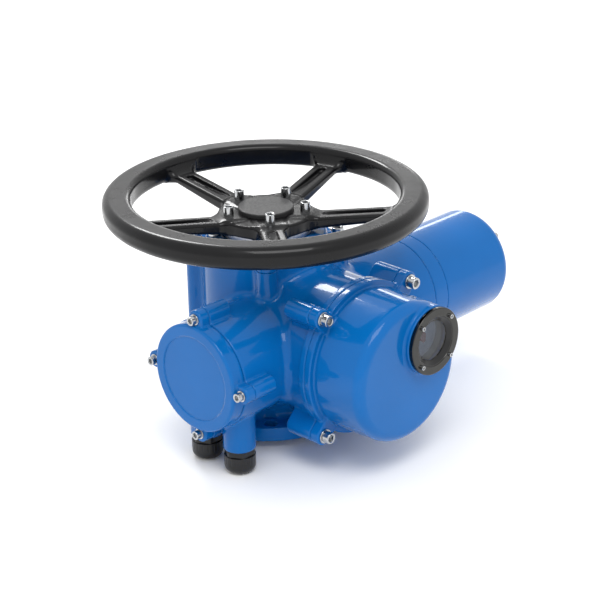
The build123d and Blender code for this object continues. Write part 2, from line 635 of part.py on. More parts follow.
def output_sleeve():
    """The hollow drive sleeve, with jaws at its foot, a collar and splines for the clutch."""
    body = rod(LOWER_BEARING[0] - RUN, SLEEVE_LOW, SEAT_Z + CLEAR)
    body += rod(SLEEVE_COLLAR_R, SEAT_Z + CLEAR, COLLAR_TOP)
    body += rod(SLEEVE_SEAT_R, COLLAR_TOP, WHEEL_LOW)
    body += rod(SLEEVE_MID_R, WHEEL_LOW, HUB_DOG_ROOT + 6)
    body += rod(SLEEVE_HEAD_R, HUB_DOG_ROOT, SLEEVE_TOP)
    body -= rod(SLEEVE_BORE_R, SLEEVE_LOW - 1, SLEEVE_TOP + 1)
    gap = sector(JAW_ANGLE / 2, LOWER_BEARING[0] + 1, SLEEVE_LOW - 1, SLEEVE_LOW + JAW_DEEP)
    body -= [Rot(0, 0, 360 * k / JAWS) * gap for k in range(JAWS)]
    long = HUB_DOG_ROOT + 7 - CLUTCH_LOW
    slot = Pos(0, 0, CLUTCH_LOW + long / 2) * Box(2 * SPLINE_DEEP, SPLINE_W + 2 * FIT, long)
    return body - around([360 * k / SPLINES for k in range(SPLINES)], SLEEVE_MID_R, slot)


def tooth_gap():
    """A gap between two of the wheel's teeth, on local +X, with sides rounded like rolled teeth."""
    half_turn = (WORM_LEAD + BACKLASH) / 4 / WHEEL_PITCH_R
    bend = WHEEL_PITCH_R * math.sin(math.radians(PRESSURE))
    lean = math.radians(PRESSURE) + half_turn
    middle = Vector(WHEEL_PITCH_R * math.cos(half_turn), WHEEL_PITCH_R * math.sin(half_turn))
    centre = middle + Vector(-math.sin(lean), math.cos(lean)) * bend

    def flank(along):
        turn = lean + along / bend
        return centre + Vector(math.sin(turn), -math.cos(turn)) * bend
    low, high = flank(-1.5 * MODULE), flank(1.8 * MODULE)
    root = Vector(WHEEL_PITCH_R - 1.25 * MODULE, low.Y)
    side = Line(root, low) + ThreePointArc(low, middle, high)
    bottom = Line(root, (root.X, -root.Y))
    return make_face(side + mirror(side, Plane.XZ) + bottom + Line(high, (high.X, -high.Y)))


def worm_wheel():
    """The bronze worm wheel: teeth leaning with the worm's thread, and clutch dogs on its upper face."""
    low, high = AXIS_Z - WHEEL_HALF, AXIS_Z + WHEEL_HALF
    rim = chamfer(rod(WHEEL_PITCH_R + MODULE, low, high).edges().filter_by(GeomType.CIRCLE), MODULE / 2)
    rise = MODULE / 2 * math.atan(WHEEL_HALF / WORM_PITCH_R) / WHEEL_HALF
    gap = Rot(-math.degrees(math.atan(rise)), 0, 0) * extrude(tooth_gap(), WHEEL_HALF + 2, both=True)
    rim -= [Rot(0, 0, 360 * (k + 0.5) / WHEEL_TEETH) * Pos(0, 0, AXIS_Z) * gap for k in range(WHEEL_TEETH)]
    dogged = [rod(DOG_OUT, high, DOG_ROOT_Z)] + dogs(DOG_ROOT_Z, DOG_ROOT_Z + DOG_H)
    body = rim + [piece - worm_path() for piece in dogged] + rod(WHEEL_HUB_R, WHEEL_LOW, low)
    return body - rod(SLEEVE_MID_R + FIT, WHEEL_LOW - 1, DOG_ROOT_Z + DOG_H + 1)


def worm_path():
    """The groove that clears the worm, turned all round above the wheel's teeth."""
    away = Pos(WORM_X, 0, AXIS_Z) * Rot(90, 0, 0) * Circle(WORM_R + 0.6)
    return revolve(away, Axis.Z)


def shrinking(outline, near, far, at):
    """A bar on local +Z that shrinks evenly towards the origin, from its outline at one distance."""
    ends = [make_face(Plane.XY.offset(d) * Polyline(*[(x * d / at, y * d / at) for x, y in outline], close=True))
            for d in (near, far)]
    return loft(ends)


def travel_crown_gear():
    """The crown gear on the sleeve that drives the travel counter; its teeth point at the pinion's axis."""
    seat = SLEEVE_SEAT_R + FIT
    tip, root = PINION_PITCH_R - 0.55 * BEVEL_MODULE, PINION_PITCH_R + 1.1 * BEVEL_MODULE
    body = spin([(seat, COLLAR_TOP), (CROWN_R, COLLAR_TOP), (CROWN_R, DRIVE_Z - tip * CROWN_R / PINION_FAR),
                 (seat, DRIVE_Z - tip * seat / PINION_FAR)])
    half = (math.pi * BEVEL_MODULE / 2 + BACKLASH) / 2
    half_top, half_root = [half + (PINION_PITCH_R - drop) * FLANK for drop in (tip - 1.0, root)]
    outline = [(half_top, 1.0 - tip), (half_root, -root), (-half_root, -root), (-half_top, 1.0 - tip)]
    gap = DRIVE * shrinking(outline, seat - 3, CROWN_R + 2, PINION_FAR)
    return body - [Rot(0, 0, 360 * k / CROWN_TEETH) * gap for k in range(CROWN_TEETH)]


def clutch_sleeve():
    """The sliding clutch, splined inside, dogged at both ends and grooved for the shifting pin."""
    body = ring(DOG_OUT, CLUTCH_BORE_R, CLUTCH_LOW, CLUTCH_HIGH)
    body -= ring(DOG_OUT + 1, GROOVE_R, PIN_Z - GROOVE_HALF, PIN_Z + GROOVE_HALF)
    body += dogs(CLUTCH_LOW - DOG_H, CLUTCH_LOW, 180 / DOGS)
    body += dogs(CLUTCH_HIGH, CLUTCH_HIGH + DOG_H)
    long = CLUTCH_HIGH - CLUTCH_LOW
    deep = SPLINE_DEEP + CLUTCH_BORE_R - SLEEVE_MID_R
    key = Pos(0, 0, CLUTCH_LOW + long / 2) * Box(deep, SPLINE_W - 0.4, long)
    return body + around([360 * k / SPLINES for k in range(SPLINES)], CLUTCH_BORE_R - deep / 2 + 0.3, key)


def lower_bearing():
    """The ball bearing under the output sleeve."""
    return bearing(LOWER_BEARING, LOWER_BEARING_Z)


def output_seal():
    """The lip seal round the foot of the output sleeve."""
    low = LOWER_BEARING_Z - 5 - SEAL_T
    body = ring(SEAL_R - FIT, LOWER_BEARING[0] + RUN, low, low + SEAL_T)
    return body - ring(SEAL_R - 4, LOWER_BEARING[0] + 2.5, low - 1, low + SEAL_T - 2)


# Handwheel

def handwheel_sleeve():
    """The sleeve that carries the handwheel in the top cover, dogged below and flanged above."""
    flange_low = HUB_Z - HUB_FLANGE_T
    body = rod(HUB_COLLAR_R, HUB_DOG_ROOT, HAND_BEARING_Z - CLEAR)
    body += rod(HAND_BEARING[0] - RUN, HUB_DOG_ROOT, flange_low)
    body += rod(HUB_FLANGE_R, flange_low, HUB_Z)
    body -= rod(HUB_SLEEVE_BORE_R, HUB_DOG_ROOT - 1, HUB_Z + 1)
    body += dogs(HUB_DOG_TIP, HUB_DOG_ROOT, 180 / DOGS)
    return bored(body, HUB_SCREWS, 4.0, HUB_T + HUB_FLANGE_T + 1)


def sleeve_bush():
    """The bronze bush between the handwheel's sleeve and the output sleeve."""
    return ring(HUB_SLEEVE_BORE_R - FIT, SLEEVE_HEAD_R + RUN, HAND_BEARING_Z + 2, HUB_Z - 2)


def handwheel():
    """The cast handwheel: dished hub plate, five grooved spokes and a thick rounded rim."""
    rim_low = RIM_TOP - RIM_H
    angles = [SPOKE_ANGLE + 360 * k / SPOKES for k in range(SPOKES)]
    plan = Circle(HUB_R) + Circle(RIM_IN_R + 12) - Circle(RIM_IN_R) + Circle(HUB_R)
    bar = Pos((HUB_R + RIM_IN_R) / 2, 0) * Rectangle(RIM_IN_R - HUB_R + 16, SPOKE_W)
    plan += [Rot(0, 0, a) * bar for a in angles]
    roots = [v for v in plan.vertices() if abs(math.hypot(v.X, v.Y) - HUB_R) < 1]
    plan = fillet(roots, SPOKE_ROOT_ROUND)
    ends = [v for v in plan.vertices() if abs(math.hypot(v.X, v.Y) - RIM_IN_R) < 1]
    plan = fillet(ends, SPOKE_RIM_ROUND)
    web = Pos(0, 0, HUB_Z - 1) * extrude(plan, RIM_TOP - HUB_Z)
    dish = spin([(0, HUB_Z), (HUB_R, HUB_Z), (RIM_IN_R + 12, rim_low + 3),
                 (RIM_IN_R + 12, HUB_TOP + SPOKE_RISE + 4), (RIM_IN_R - 14, HUB_TOP + SPOKE_RISE),
                 (HUB_R + 6, HUB_TOP), (0, HUB_TOP)])
    body = web & dish
    section = Plane.XZ * Pos((RIM_R + RIM_IN_R) / 2, RIM_TOP - RIM_H / 2) * Rectangle(RIM_R - RIM_IN_R, RIM_H)
    outer = [v for v in section.vertices() if v.X > RIM_IN_R + 5]
    section = fillet(outer, 10.0)
    inner = [v for v in section.vertices() if v.X < RIM_IN_R + 1]
    section = fillet(inner, 4.0)
    body += revolve(section, Axis.Z)
    slope = math.degrees(math.atan2(SPOKE_RISE, RIM_IN_R - HUB_R - 20))
    slot = extrude(SlotOverall(RIM_IN_R - HUB_R - 24, SPOKE_GROOVE_W), 12)
    slot = Rot(0, -slope, 0) * Pos(0, 0, -SPOKE_GROOVE_DEEP) * slot
    middle = (HUB_R + RIM_IN_R) / 2 - 2
    body -= [Rot(0, 0, a) * Pos(middle, 0, HUB_TOP + SPOKE_RISE / 2) * slot for a in angles]
    body -= rod(HUB_BORE_R, HUB_Z - 1, HUB_TOP + 1)
    return bored(body, HUB_SCREWS, 4.5, HUB_T + 1)


def handwheel_cap():
    """The plain round cap over the hub's bore."""
    body = rod(CAP_R, HUB_TOP, HUB_TOP + CAP_T)
    body = fillet(body.edges().sort_by(Axis.Z)[-1], 1.5)
    return body + ring(HUB_BORE_R - FIT, HUB_BORE_R - 4, HUB_TOP - 8, HUB_TOP)


# Declutch lever

def lever_shaft():
    """The lever's shaft with its crank and the pin that lifts the clutch."""
    inner = DOG_OUT + CLEAR + 4
    body = rod(LEVER_SHAFT_R, inner, LEVER_BOSS_OUT + LEVER_WASHER_T + LEVER_HUB_T)
    arm = rod(LEVER_SHAFT_R + 2, inner, inner + CRANK_T)
    arm += Pos(CRANK / 2, 0, inner + CRANK_T / 2) * Box(CRANK, 2 * PIN_R, CRANK_T)
    arm += Pos(CRANK, 0, 0) * rod(PIN_R, GROOVE_R + CLEAR, inner + CRANK_T)
    return LEVER * (body + Rot(0, 0, -CRANK_ANGLE) * arm)


def lever_bush():
    """The flanged bronze bush in the lever's boss."""
    low = TOWER_R - TOWER_WALL - 4
    body = ring(LEVER_BUSH_R - FIT, LEVER_SHAFT_R + RUN, low, LEVER_BOSS_OUT)
    return LEVER * (body + ring(LEVER_HUB_R + 1, LEVER_SHAFT_R + RUN, LEVER_BOSS_OUT,
                                LEVER_BOSS_OUT + LEVER_WASHER_T - CLEAR))


def declutch_lever():
    """The hand lever: a round hub with a tapered arm."""
    low = LEVER_BOSS_OUT + LEVER_WASHER_T
    hub = rod(LEVER_HUB_R, low, low + LEVER_HUB_T)
    hub = fillet(hub.edges().sort_by(Axis.Z)[-1], 3.0)
    middle = low + LEVER_HUB_T / 2
    arm = Pos(0, 0, LEVER_ARM / 2) * Cone(LEVER_ARM_R + 1.5, LEVER_ARM_R - 1.5, LEVER_ARM)
    arm = Pos(0, 0, middle) * Rot(0, 90, 0) * arm
    body = hub + arm - rod(LEVER_SHAFT_R + FIT, low - 1, low + LEVER_HUB_T + 1)
    return LEVER * Rot(0, 0, -LEVER_REST) * body


def lever_knob():
    """The ball knob on the end of the lever."""
    middle = LEVER_BOSS_OUT + LEVER_WASHER_T + LEVER_HUB_T / 2
    ball = Sphere(KNOB_R) - Rot(0, 90, 0) * rod(LEVER_ARM_R - 1.0, -KNOB_R - 1, FIT - 1)
    return LEVER * Rot(0, 0, -LEVER_REST) * Pos(LEVER_ARM + 1, 0, middle) * ball


# Controls behind the sight window

def pinion_tooth():
    """One bevel tooth with rolled flanks, on local +X, from the near to the far end of the pinion."""
    pressure = math.radians(PRESSURE)
    base_r = PINION_PITCH_R * math.cos(pressure)
    half_turn = (math.pi * BEVEL_MODULE / 2 - BACKLASH) / 2 / PINION_PITCH_R + math.tan(pressure) - pressure
    flank = []
    for radius in (base_r, PINION_PITCH_R, (PINION_PITCH_R + PINION_TIP_R) / 2, PINION_TIP_R):
        roll = math.acos(base_r / radius)
        turn = half_turn - (math.tan(roll) - roll)
        flank.append((radius * math.cos(turn), radius * math.sin(turn)))
    foot = 0.7
    flank.insert(0, (flank[0][0] * foot, flank[0][1] * foot))
    return shrinking(flank + [(x, -y) for x, y in reversed(flank)], PINION_FROM, PINION_FAR, PINION_FAR)


def control_shaft():
    """The cross shaft from the crown gear to the travel counter, with its bevel pinion."""
    body = rod(DRIVE_R, PINION_FROM, CONTROL_FLOOR + BOARD_T + 14)
    root_r = PINION_PITCH_R - 0.75 * BEVEL_MODULE
    body += spin([(0, PINION_FROM), (root_r * PINION_FROM / PINION_FAR, PINION_FROM), (root_r, PINION_FAR),
                  (0, PINION_FAR)])
    tooth = pinion_tooth()
    return DRIVE * (body + [Rot(0, 0, 360 * k / PINION_TEETH - 90) * tooth for k in range(PINION_TEETH)])


def control_board():
    """The mounting plate of the controls, screwed to the floor of the drum."""
    body = rod(BOARD_R, CONTROL_FLOOR, CONTROL_FLOOR + BOARD_T)
    body -= Pos(0, DRIVE_DOWN, 0) * rod(DRIVE_R + 3, CONTROL_FLOOR - 1, CONTROL_FLOOR + BOARD_T + 1)
    body -= [Pos(side * BOARD_R, 0, CONTROL_FLOOR) * Box(16, 44, 20) for side in (-1, 1)]
    return CONTROL * body


def counter_unit():
    """The travel counter: a gearbox block with three setting spindles."""
    deep, wide, tall = COUNTER_SIZE
    low = CONTROL_FLOOR + BOARD_T
    block = Pos(0, DRIVE_DOWN, low + deep / 2) * Box(wide, tall, deep)
    block = fillet(block.edges().filter_by(Axis.Z), 3.0)
    block -= Pos(0, DRIVE_DOWN, 0) * rod(DRIVE_R + CLEAR, low - 1, low + 16)
    spindle = rod(3.0, low + deep, low + deep + 6) - Pos(0, 0, low + deep + 5) * Box(7, 1.2, 3)
    block += [Pos(step * 13, DRIVE_DOWN, 0) * spindle for step in (-1, 0, 1)]
    return CONTROL * block


def limit_switches():
    """Four small switches in a row above the counter."""
    low = CONTROL_FLOOR + BOARD_T
    body = Box(9, 14, 26)
    body += Pos(0, 8.5, 9) * Box(3, 3, 3)
    height = DRIVE_DOWN + COUNTER_SIZE[2] / 2 + 7.3
    return [CONTROL * Pos(step * 10.5, height, low + 13) * body for step in (-1.5, -0.5, 0.5, 1.5)]


def torque_switch_unit():
    """The torque switch block with its two setting discs."""
    deep, wide, tall = TORQUE_SIZE
    low = CONTROL_FLOOR + BOARD_T
    body = Box(wide, tall, deep)
    body = fillet(body.edges().filter_by(Axis.Z), 3.0)
    body += [Pos(0, up, deep / 2 + 1.5) * Cylinder(8, 3) for up in (-10, 10)]
    return CONTROL * Pos(-32, 26, low + deep / 2) * body


def indicator_post():
    """The fixed hollow post that carries the dial behind the window."""
    low = CONTROL_FLOOR + BOARD_T
    return WINDOW * (ring(POST_R, SPINDLE_R + RUN, low, DIAL_X) + ring(14, SPINDLE_R + RUN, low, low + 4))


def dial_plate():
    """The round dial on top of the post."""
    return WINDOW * ring(DIAL_R, SPINDLE_R + RUN, DIAL_X, DIAL_X + DIAL_T)


def indicator_pointer():
    """The pointer in front of the dial, in one piece with its thin spindle."""
    low = DIAL_X + DIAL_T + 1
    needle = make_face(Polyline((-8, -2), (19, -0.8), (19, 0.8), (-8, 2), close=True))
    body = rod(5, low, low + 2.5) + Pos(0, 0, low) * extrude(needle, 1.5)
    return WINDOW * Rot(0, 0, 120) * (body + rod(SPINDLE_R, CONTROL_FLOOR + BOARD_T + 1, low + 3))


# Terminals and cable entries

def terminal_board():
    """The terminal carrier on the floor of its drum."""
    low = TERMINAL_FLOOR
    body = rod(42, low, low + 5)
    body += [Pos(0, up, low + 11) * Box(64, 16, 12) for up in (-16, 16)]
    hole = rod(2.6, low + 12, low + 18)
    return TERMINAL * (body - [Pos(step * 9.5, up, 0) * hole for up in (-16, 16) for step in range(-3, 4)])


def terminal_studs():
    """The brass terminal studs with their nuts."""
    low = TERMINAL_FLOOR
    nut = extrude(RegularPolygon(4, 6, major_radius=False), 3.2)
    stud = rod(2.5, low + 12, low + 26) + Pos(0, 0, low + 17) * nut
    return [TERMINAL * Pos(step * 9.5, up, 0) * stud for up in (-16, 16) for step in range(-3, 4)]


def gland_body(x):
    """A cable gland's threaded body with its hexagon."""
    seat = GLAND_BOSS_LOW
    hexagon = extrude(RegularPolygon(GLAND_HEX / 2, 6, major_radius=False), GLAND_HEX_T)
    hexagon = Pos(0, 0, seat - GLAND_HEX_T) * hexagon
    hexagon &= rod(GLAND_HEX / 2 * 1.1, seat - GLAND_HEX_T, seat)
    body = hexagon + rod(GLAND_THREAD_R - FIT, seat, seat + 36) + rod(13.0, seat - GLAND_HEX_T - 9, seat)
    return Pos(x, -GLAND_OUT, 0) * (body - rod(11.0, seat - GLAND_HEX_T - 10, seat + 37))


def gland_cap(x):
    """The domed clamping nut of a cable gland."""
    top = GLAND_BOSS_LOW - GLAND_HEX_T - FIT
    body = rod(GLAND_CAP_R, top - GLAND_CAP_H, top)
    body = fillet(body.edges().sort_by(Axis.Z)[0], GLAND_CAP_ROUND)
    body -= rod(13.0 + FIT, top - GLAND_CAP_H + 7, top + 1) + rod(GLAND_CABLE_R + 1.5, top - GLAND_CAP_H - 1, top)
    notch = Pos(0, 0, top - GLAND_CAP_H / 2) * Box(1.6, 2.6, GLAND_CAP_H + 2)
    return Pos(x, -GLAND_OUT, 0) * (body - around([30 * k for k in range(12)], GLAND_CAP_R, notch))


def gland_seal(x):
    """The rubber bush that grips the cable."""
    low = GLAND_BOSS_LOW - GLAND_HEX_T - GLAND_CAP_H + 7
    return Pos(x, -GLAND_OUT, 0) * ring(11.0 - FIT, GLAND_CABLE_R, low, low + 14)


PIECES = {
    "main_housing": main_housing,
    "top_cover": top_cover,
    "top_cover_screws": lambda: screws(8, TOP_COVER_T + 16, TOP_SCREWS),
    "top_cover_seal": lambda: seal_cord(TOWER_R - TOWER_WALL - 1.55, SEAL_HALF, TOWER_TOP - 2.0),
    "oil_plug": oil_plug,
    "handwheel_bearing": lambda: bearing(HAND_BEARING, HAND_BEARING_Z),
    "bearing_circlip": bearing_circlip,
    "lower_bearing": lower_bearing,
    "output_seal": output_seal,
    "worm_bearing_front": lambda: TERMINAL * bearing(FRONT_BEARING, CHAMBER_END),
    "worm_bearing_rear": lambda: MOTOR * bearing(REAR_BEARING, REAR_BEARING_FROM),
    "bearing_plate": bearing_plate,
    "bearing_plate_screws": lambda: screws(6, PLATE_T + 10, PLATE_SCREWS, washers=False),
    "motor_flange": motor_flange,
    "motor_housing": motor_housing,
    "motor_tie_screws": lambda: screws(TIE_SIZE, TIE_LONG, TIE_SCREWS, washers=False),
    "motor_bearing_drive": lambda: MOTOR * bearing(DRIVE_BEARING, TUBE_FROM + 5 - DRIVE_BEARING[2]),
    "motor_bearing_end": lambda: MOTOR * bearing(END_BEARING, END_BEARING_FROM),
    "stator_core": stator_core,
    "stator_windings": stator_windings,
    "motor_rotor": motor_rotor,
    "shaft_coupling": shaft_coupling,
    "worm_shaft": worm_shaft,
    "output_sleeve": output_sleeve,
    "worm_wheel": worm_wheel,
    "travel_crown_gear": travel_crown_gear,
    "clutch_sleeve": clutch_sleeve,
    "lever_shaft": lever_shaft,
    "lever_bush": lever_bush,
    "declutch_lever": declutch_lever,
    "lever_knob": lever_knob,
    "handwheel_sleeve": handwheel_sleeve,
    "sleeve_bush": sleeve_bush,
    "handwheel": handwheel,
    "handwheel_cap": handwheel_cap,
    "handwheel_screws": lambda: screws(8, HUB_T + 5, HUB_SCREWS, washers=False),
    "control_cover": control_cover,
    "control_cover_screws": lambda: screws(8, COVER_LUG_T + 16, CONTROL_SCREWS),
    "control_cover_seal": lambda: CONTROL * seal_cord(CONTROL_SEAL_R, SEAL_HALF, CONTROL_JOINT - SEAL_HALF),
    "window_bezel": window_bezel,
    "window_glass": lambda: WINDOW * rod(GLASS_R - FIT, BOSS_FACE - GLASS_T, BOSS_FACE),
    "window_gasket": lambda: WINDOW * ring(GLASS_R - FIT, WINDOW_R, BOSS_FACE - GLASS_T - GASKET_T,
                                           BOSS_FACE - GLASS_T),
    "bezel_screws": lambda: screws(3, BEZEL_T + 6, BEZEL_SCREWS, washers=False),
    "control_board": control_board,
    "control_shaft": control_shaft,
    "counter_unit": counter_unit,
    "limit_switches": limit_switches,
    "torque_switch_unit": torque_switch_unit,
    "indicator_post": indicator_post,
    "dial_plate": dial_plate,
    "indicator_pointer": indicator_pointer,
    "terminal_cover": terminal_cover,
    "terminal_cover_screws": lambda: screws(6, COVER_LUG_T + 14, TERMINAL_SCREWS),
    "terminal_board": terminal_board,
    "terminal_studs": terminal_studs,
    "gland_seals": lambda: [gland_seal(x) for x in GLANDS.values()],
}
for side, x in GLANDS.items():
    PIECES[f"gland_body_{side}"] = lambda x=x: gland_body(x)
    PIECES[f"gland_cap_{side}"] = lambda x=x: gland_cap(x)


def main():
    os.makedirs("parts", exist_ok=True)
    for name, make in PIECES.items():
        shape = make()
        if isinstance(shape, list):
            shape = Compound(children=shape)
        export_step(shape, f"parts/{name}.step")
        print(f"{name:24s} {shape.volume / 1000:9.2f} cm3  {len(shape.solids())} solids")


main()
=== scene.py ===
"""Dresses the valve actuator: rounded castings, covers, handwheel, fasteners, glands, finishes and stage.

Every piece is worked out in the frame of the CAD model, in metres: +Z up the output axis, +X along the
control drum, -Y along the terminal drum and +Y along the motor. Castings are built as distance functions, so
that drums, ears and bosses run into each other with real fillets, and are then skinned with an even mesh.
"""
import json
import math

import bpy
import numpy as np
from mathutils import Matrix, Vector


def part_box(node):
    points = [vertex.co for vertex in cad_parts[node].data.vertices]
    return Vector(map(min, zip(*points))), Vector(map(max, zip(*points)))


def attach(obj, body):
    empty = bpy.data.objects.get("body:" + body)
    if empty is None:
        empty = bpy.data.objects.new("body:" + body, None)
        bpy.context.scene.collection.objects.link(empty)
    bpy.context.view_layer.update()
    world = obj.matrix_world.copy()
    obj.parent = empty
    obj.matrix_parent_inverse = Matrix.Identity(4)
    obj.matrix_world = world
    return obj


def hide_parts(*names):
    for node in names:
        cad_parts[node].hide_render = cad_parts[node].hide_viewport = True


bl_info = {
    "name": "Valve Actuator Dressing",
    "version": (1, 0, 0),
    "blender": (4, 5, 0),
    "location": "3D View > Sidebar > Actuator",
    "description": "Builds the rounded castings, fasteners and finishes of a multi-turn valve actuator",
    "category": "Object",
}

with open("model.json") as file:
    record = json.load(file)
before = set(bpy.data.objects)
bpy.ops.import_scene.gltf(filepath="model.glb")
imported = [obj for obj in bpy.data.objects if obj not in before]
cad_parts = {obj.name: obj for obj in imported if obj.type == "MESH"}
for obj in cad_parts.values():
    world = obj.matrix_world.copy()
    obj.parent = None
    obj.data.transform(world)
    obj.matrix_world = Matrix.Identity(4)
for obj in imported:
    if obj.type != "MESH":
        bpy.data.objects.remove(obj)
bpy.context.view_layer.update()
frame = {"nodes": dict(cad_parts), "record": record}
MM = 0.001
X, Y, Z = 0, 1, 2
DIAGONALS = (45, 135, 225, 315)
QUARTERS = (0, 90, 180, 270)
PLUG_ANGLE = 239
TIE_REACH = 49.5 * MM


# Sizes and colours

def length(value, about):
    """A length property with its default in millimetres."""
    return bpy.props.FloatProperty(default=value * MM, unit="LENGTH", precision=5, description=about)


def colour(value, about):
    """A colour property."""
    return bpy.props.FloatVectorProperty(default=value, subtype="COLOR", min=0, max=1, description=about)


def angle(value, about):
    """An angle property with its default in degrees."""
    return bpy.props.FloatProperty(default=math.radians(value), subtype="ANGLE", description=about)


def amount(value, about):
    """A property of a plain positive number."""
    return bpy.props.FloatProperty(default=value, min=0, description=about)


class CastingSizes(bpy.types.PropertyGroup):
    """Sizes of the gear casting and what is bolted to it."""
    axis_z: length(102.5, "Height of the drums' and the motor's axes above the valve face")
    offset_x: length(48, "Distance of the motor and terminal axis beside the output axis")
    tower_r: length(72, "Outer radius of the upright tower")
    tower_top: length(194, "Height of the tower's joint face")
    control_r: length(80, "Outer radius of the control drum")
    control_joint: length(135, "Distance of the control cover's joint from the output axis")
    control_reach: length(94, "Radius of the control cover's bolt circle")
    terminal_r: length(60, "Outer radius of the terminal drum")
    terminal_joint: length(140, "Distance of the terminal cover's joint from the output axis")
    terminal_reach: length(65.2, "Radius of the terminal cover's bolt circle")
    motor_r: length(60, "Outer radius of the motor")
    motor_joint: length(157, "Distance of the motor's joint from the output axis")
    flange_r: length(92.5, "Outer radius of the valve flange")
    flange_h: length(16, "Thickness of the valve flange")
    neck_r: length(68, "Radius of the neck over the flange")
    bore_r: length(62, "Radius of the tower's bore")
    post_r: length(11, "Radius of the screw posts round the tower and of its cover's ears")
    post_low: length(112, "Height where the screw posts end in a round foot")
    post_reach: length(77, "Radius of the tower cover's bolt circle")
    control_rim: length(84, "Radius of the rims at the control cover's joint")
    control_ear: length(10.5, "Radius of the ears round the control drum")
    control_bore: length(70, "Radius inside the control drum and its cover")
    terminal_ear: length(9.5, "Radius of the ears round the terminal drum")
    terminal_bore: length(49, "Radius inside the terminal drum and its cover")
    cover_ear: length(12, "Thickness of the ears of the control and the terminal cover")
    gland_step: length(25, "Distance of a cable gland beside the terminal axis")
    gland_y: length(-119, "Place of the cable glands along the terminal drum")
    gland_low: length(18, "Height of the gland bosses' lower faces")
    lever_z: length(166, "Height of the declutch lever's pivot")
    window_y: length(29, "Sideways place of the sight window")
    window_rise: length(30.3, "Height of the sight window over the drum's axis")
    window_seat: length(211, "Distance of the window's ring from the output axis")
    plug_reach: length(57.5, "Distance of the oil plug from the output axis")
    fillet: length(8, "Fillet where the drums, the tower and the bosses meet")
    edge: length(1.5, "Rounding along the outer edges of the castings")
    machined: length(0.8, "Rounding along machined edges")
    cell: length(1.5, "Mesh size of the gear casting")
    cover_cell: length(1.2, "Mesh size of the covers")


class WheelSizes(bpy.types.PropertyGroup):
    """Sizes of the handwheel."""
    rim_r: length(175, "Outer radius of the rim")
    rim_in: length(144, "Inner radius of the rim")
    rim_top: length(256, "Height of the rim's upper face")
    rim_high: length(25, "Height of the rim's section")
    hub_r: length(52, "Radius of the hub plate")
    hub_low: length(217, "Height of the hub plate's underside")
    hub_top: length(231, "Height of the hub plate's upper face")
    spoke_w: length(27, "Width of one spoke")
    spoke_rise: length(8, "Rise of a spoke's upper face from the hub to the rim")
    groove_w: length(9, "Width of the round-ended groove along a spoke")
    groove_deep: length(5, "Depth of the groove along a spoke")
    bolt_reach: length(43.2, "Radius of the hub screws' circle")
    first_angle: angle(-38.9, "Angle of the first spoke")
    spokes: bpy.props.IntProperty(default=5, min=3, max=8, description="Number of spokes")
    cell: length(1.25, "Mesh size of the handwheel")


class FinishColours(bpy.types.PropertyGroup):
    """Base colours of the finishes."""
    body: colour((0.0012, 0.116, 0.385), "Gloss enamel of the castings, covers and motor")
    wheel: colour((0.0025, 0.0025, 0.003), "Half gloss black of the handwheel")
    zinc: colour((0.5, 0.51, 0.52), "Bright plating of the screws and washers")
    # Painted reflection: the bezel's chrome is given a very dark colour that stands in for the dark
    # surroundings a bright chrome ring reflects.
    chrome: colour((0.06, 0.06, 0.058), "Window bezel")
    plastic: colour((0.009, 0.009, 0.0095), "Cable glands and knob")
    cap: colour((0.022, 0.022, 0.023), "Matt cap on the handwheel's hub")
    glass: colour((0.3, 0.36, 0.46), "Smoked glass of the sight window")
    floor: colour((0.965, 0.965, 0.965), "Pale floor and backdrop")


class StageSettings(bpy.types.PropertyGroup):
    """Where the camera stands, and the lights."""
    azimuth: angle(44.7, "Direction of the camera round the object")
    elevation: angle(23.45, "Height of the camera above the horizon")
    roll: bpy.props.FloatProperty(default=0.02, subtype="ANGLE", description="Tilt of the picture")
    distance: length(2044, "Distance of the camera from the point it looks at")
    lens: amount(112.39, "Focal length in millimetres")
    target: bpy.props.FloatVectorProperty(default=(0.030915, 0.018098, 0.129515), unit="LENGTH",
                                          description="Point in the middle of the picture")
    ambient: amount(1.0, "Strength of the even light")
    key: amount(14, "Power of the softbox over the control drum")


GROUPS = {"actuator_casting": CastingSizes, "actuator_wheel": WheelSizes, "actuator_colours": FinishColours,
          "actuator_stage": StageSettings}


# Distance functions: each takes an array of points (3, n) and gives the signed distance to a form's surface

def flat_axes(axis):
    """The two axes across the given one."""
    return [a for a in (X, Y, Z) if a != axis]


def capped(flat, along, edge):
    """A prism from the distance to its outline and the distance past its ends, with rounded rims."""
    u, v = flat + edge, along + edge
    return np.minimum(np.maximum(u, v), 0) + np.hypot(np.maximum(u, 0), np.maximum(v, 0)) - edge


def ends(p, axis, low, high):
    """Distance past the two end planes of a prism."""
    return np.abs(p[axis] - (low + high) / 2) - (high - low) / 2


def drum(axis, centre, radius, low, high, edge=0.0, far=None):
    """A cylinder, or a cone where the radius at its high end differs."""
    a, b = flat_axes(axis)
    far = radius if far is None else far
    slope = (far - radius) / (high - low)

    def shape(p):
        here = radius + slope * (np.clip(p[axis], low, high) - low)
        flat = (np.hypot(p[a] - centre[0], p[b] - centre[1]) - here) / math.hypot(1, slope)
        return capped(flat, ends(p, axis, low, high), edge)
    return shape


def tube(axis, centre, outer, inner, low, high, edge=0.0):
    """A ring of rectangular section."""
    a, b = flat_axes(axis)

    def shape(p):
        reach = np.hypot(p[a] - centre[0], p[b] - centre[1])
        flat = np.abs(reach - (outer + inner) / 2) - (outer - inner) / 2
        return capped(flat, ends(p, axis, low, high), edge)
    return shape


def ear(axis, root, tip, radius, low, high, edge=0.0):
    """A round ear with a web of its own width, from a root point to its tip."""
    a, b = flat_axes(axis)
    span = np.subtract(tip, root)

    def shape(p):
        u, v = p[a] - root[0], p[b] - root[1]
        t = np.clip((u * span[0] + v * span[1]) / span.dot(span), 0, 1)
        flat = np.hypot(u - t * span[0], v - t * span[1]) - radius
        return capped(flat, ends(p, axis, low, high), edge)
    return shape


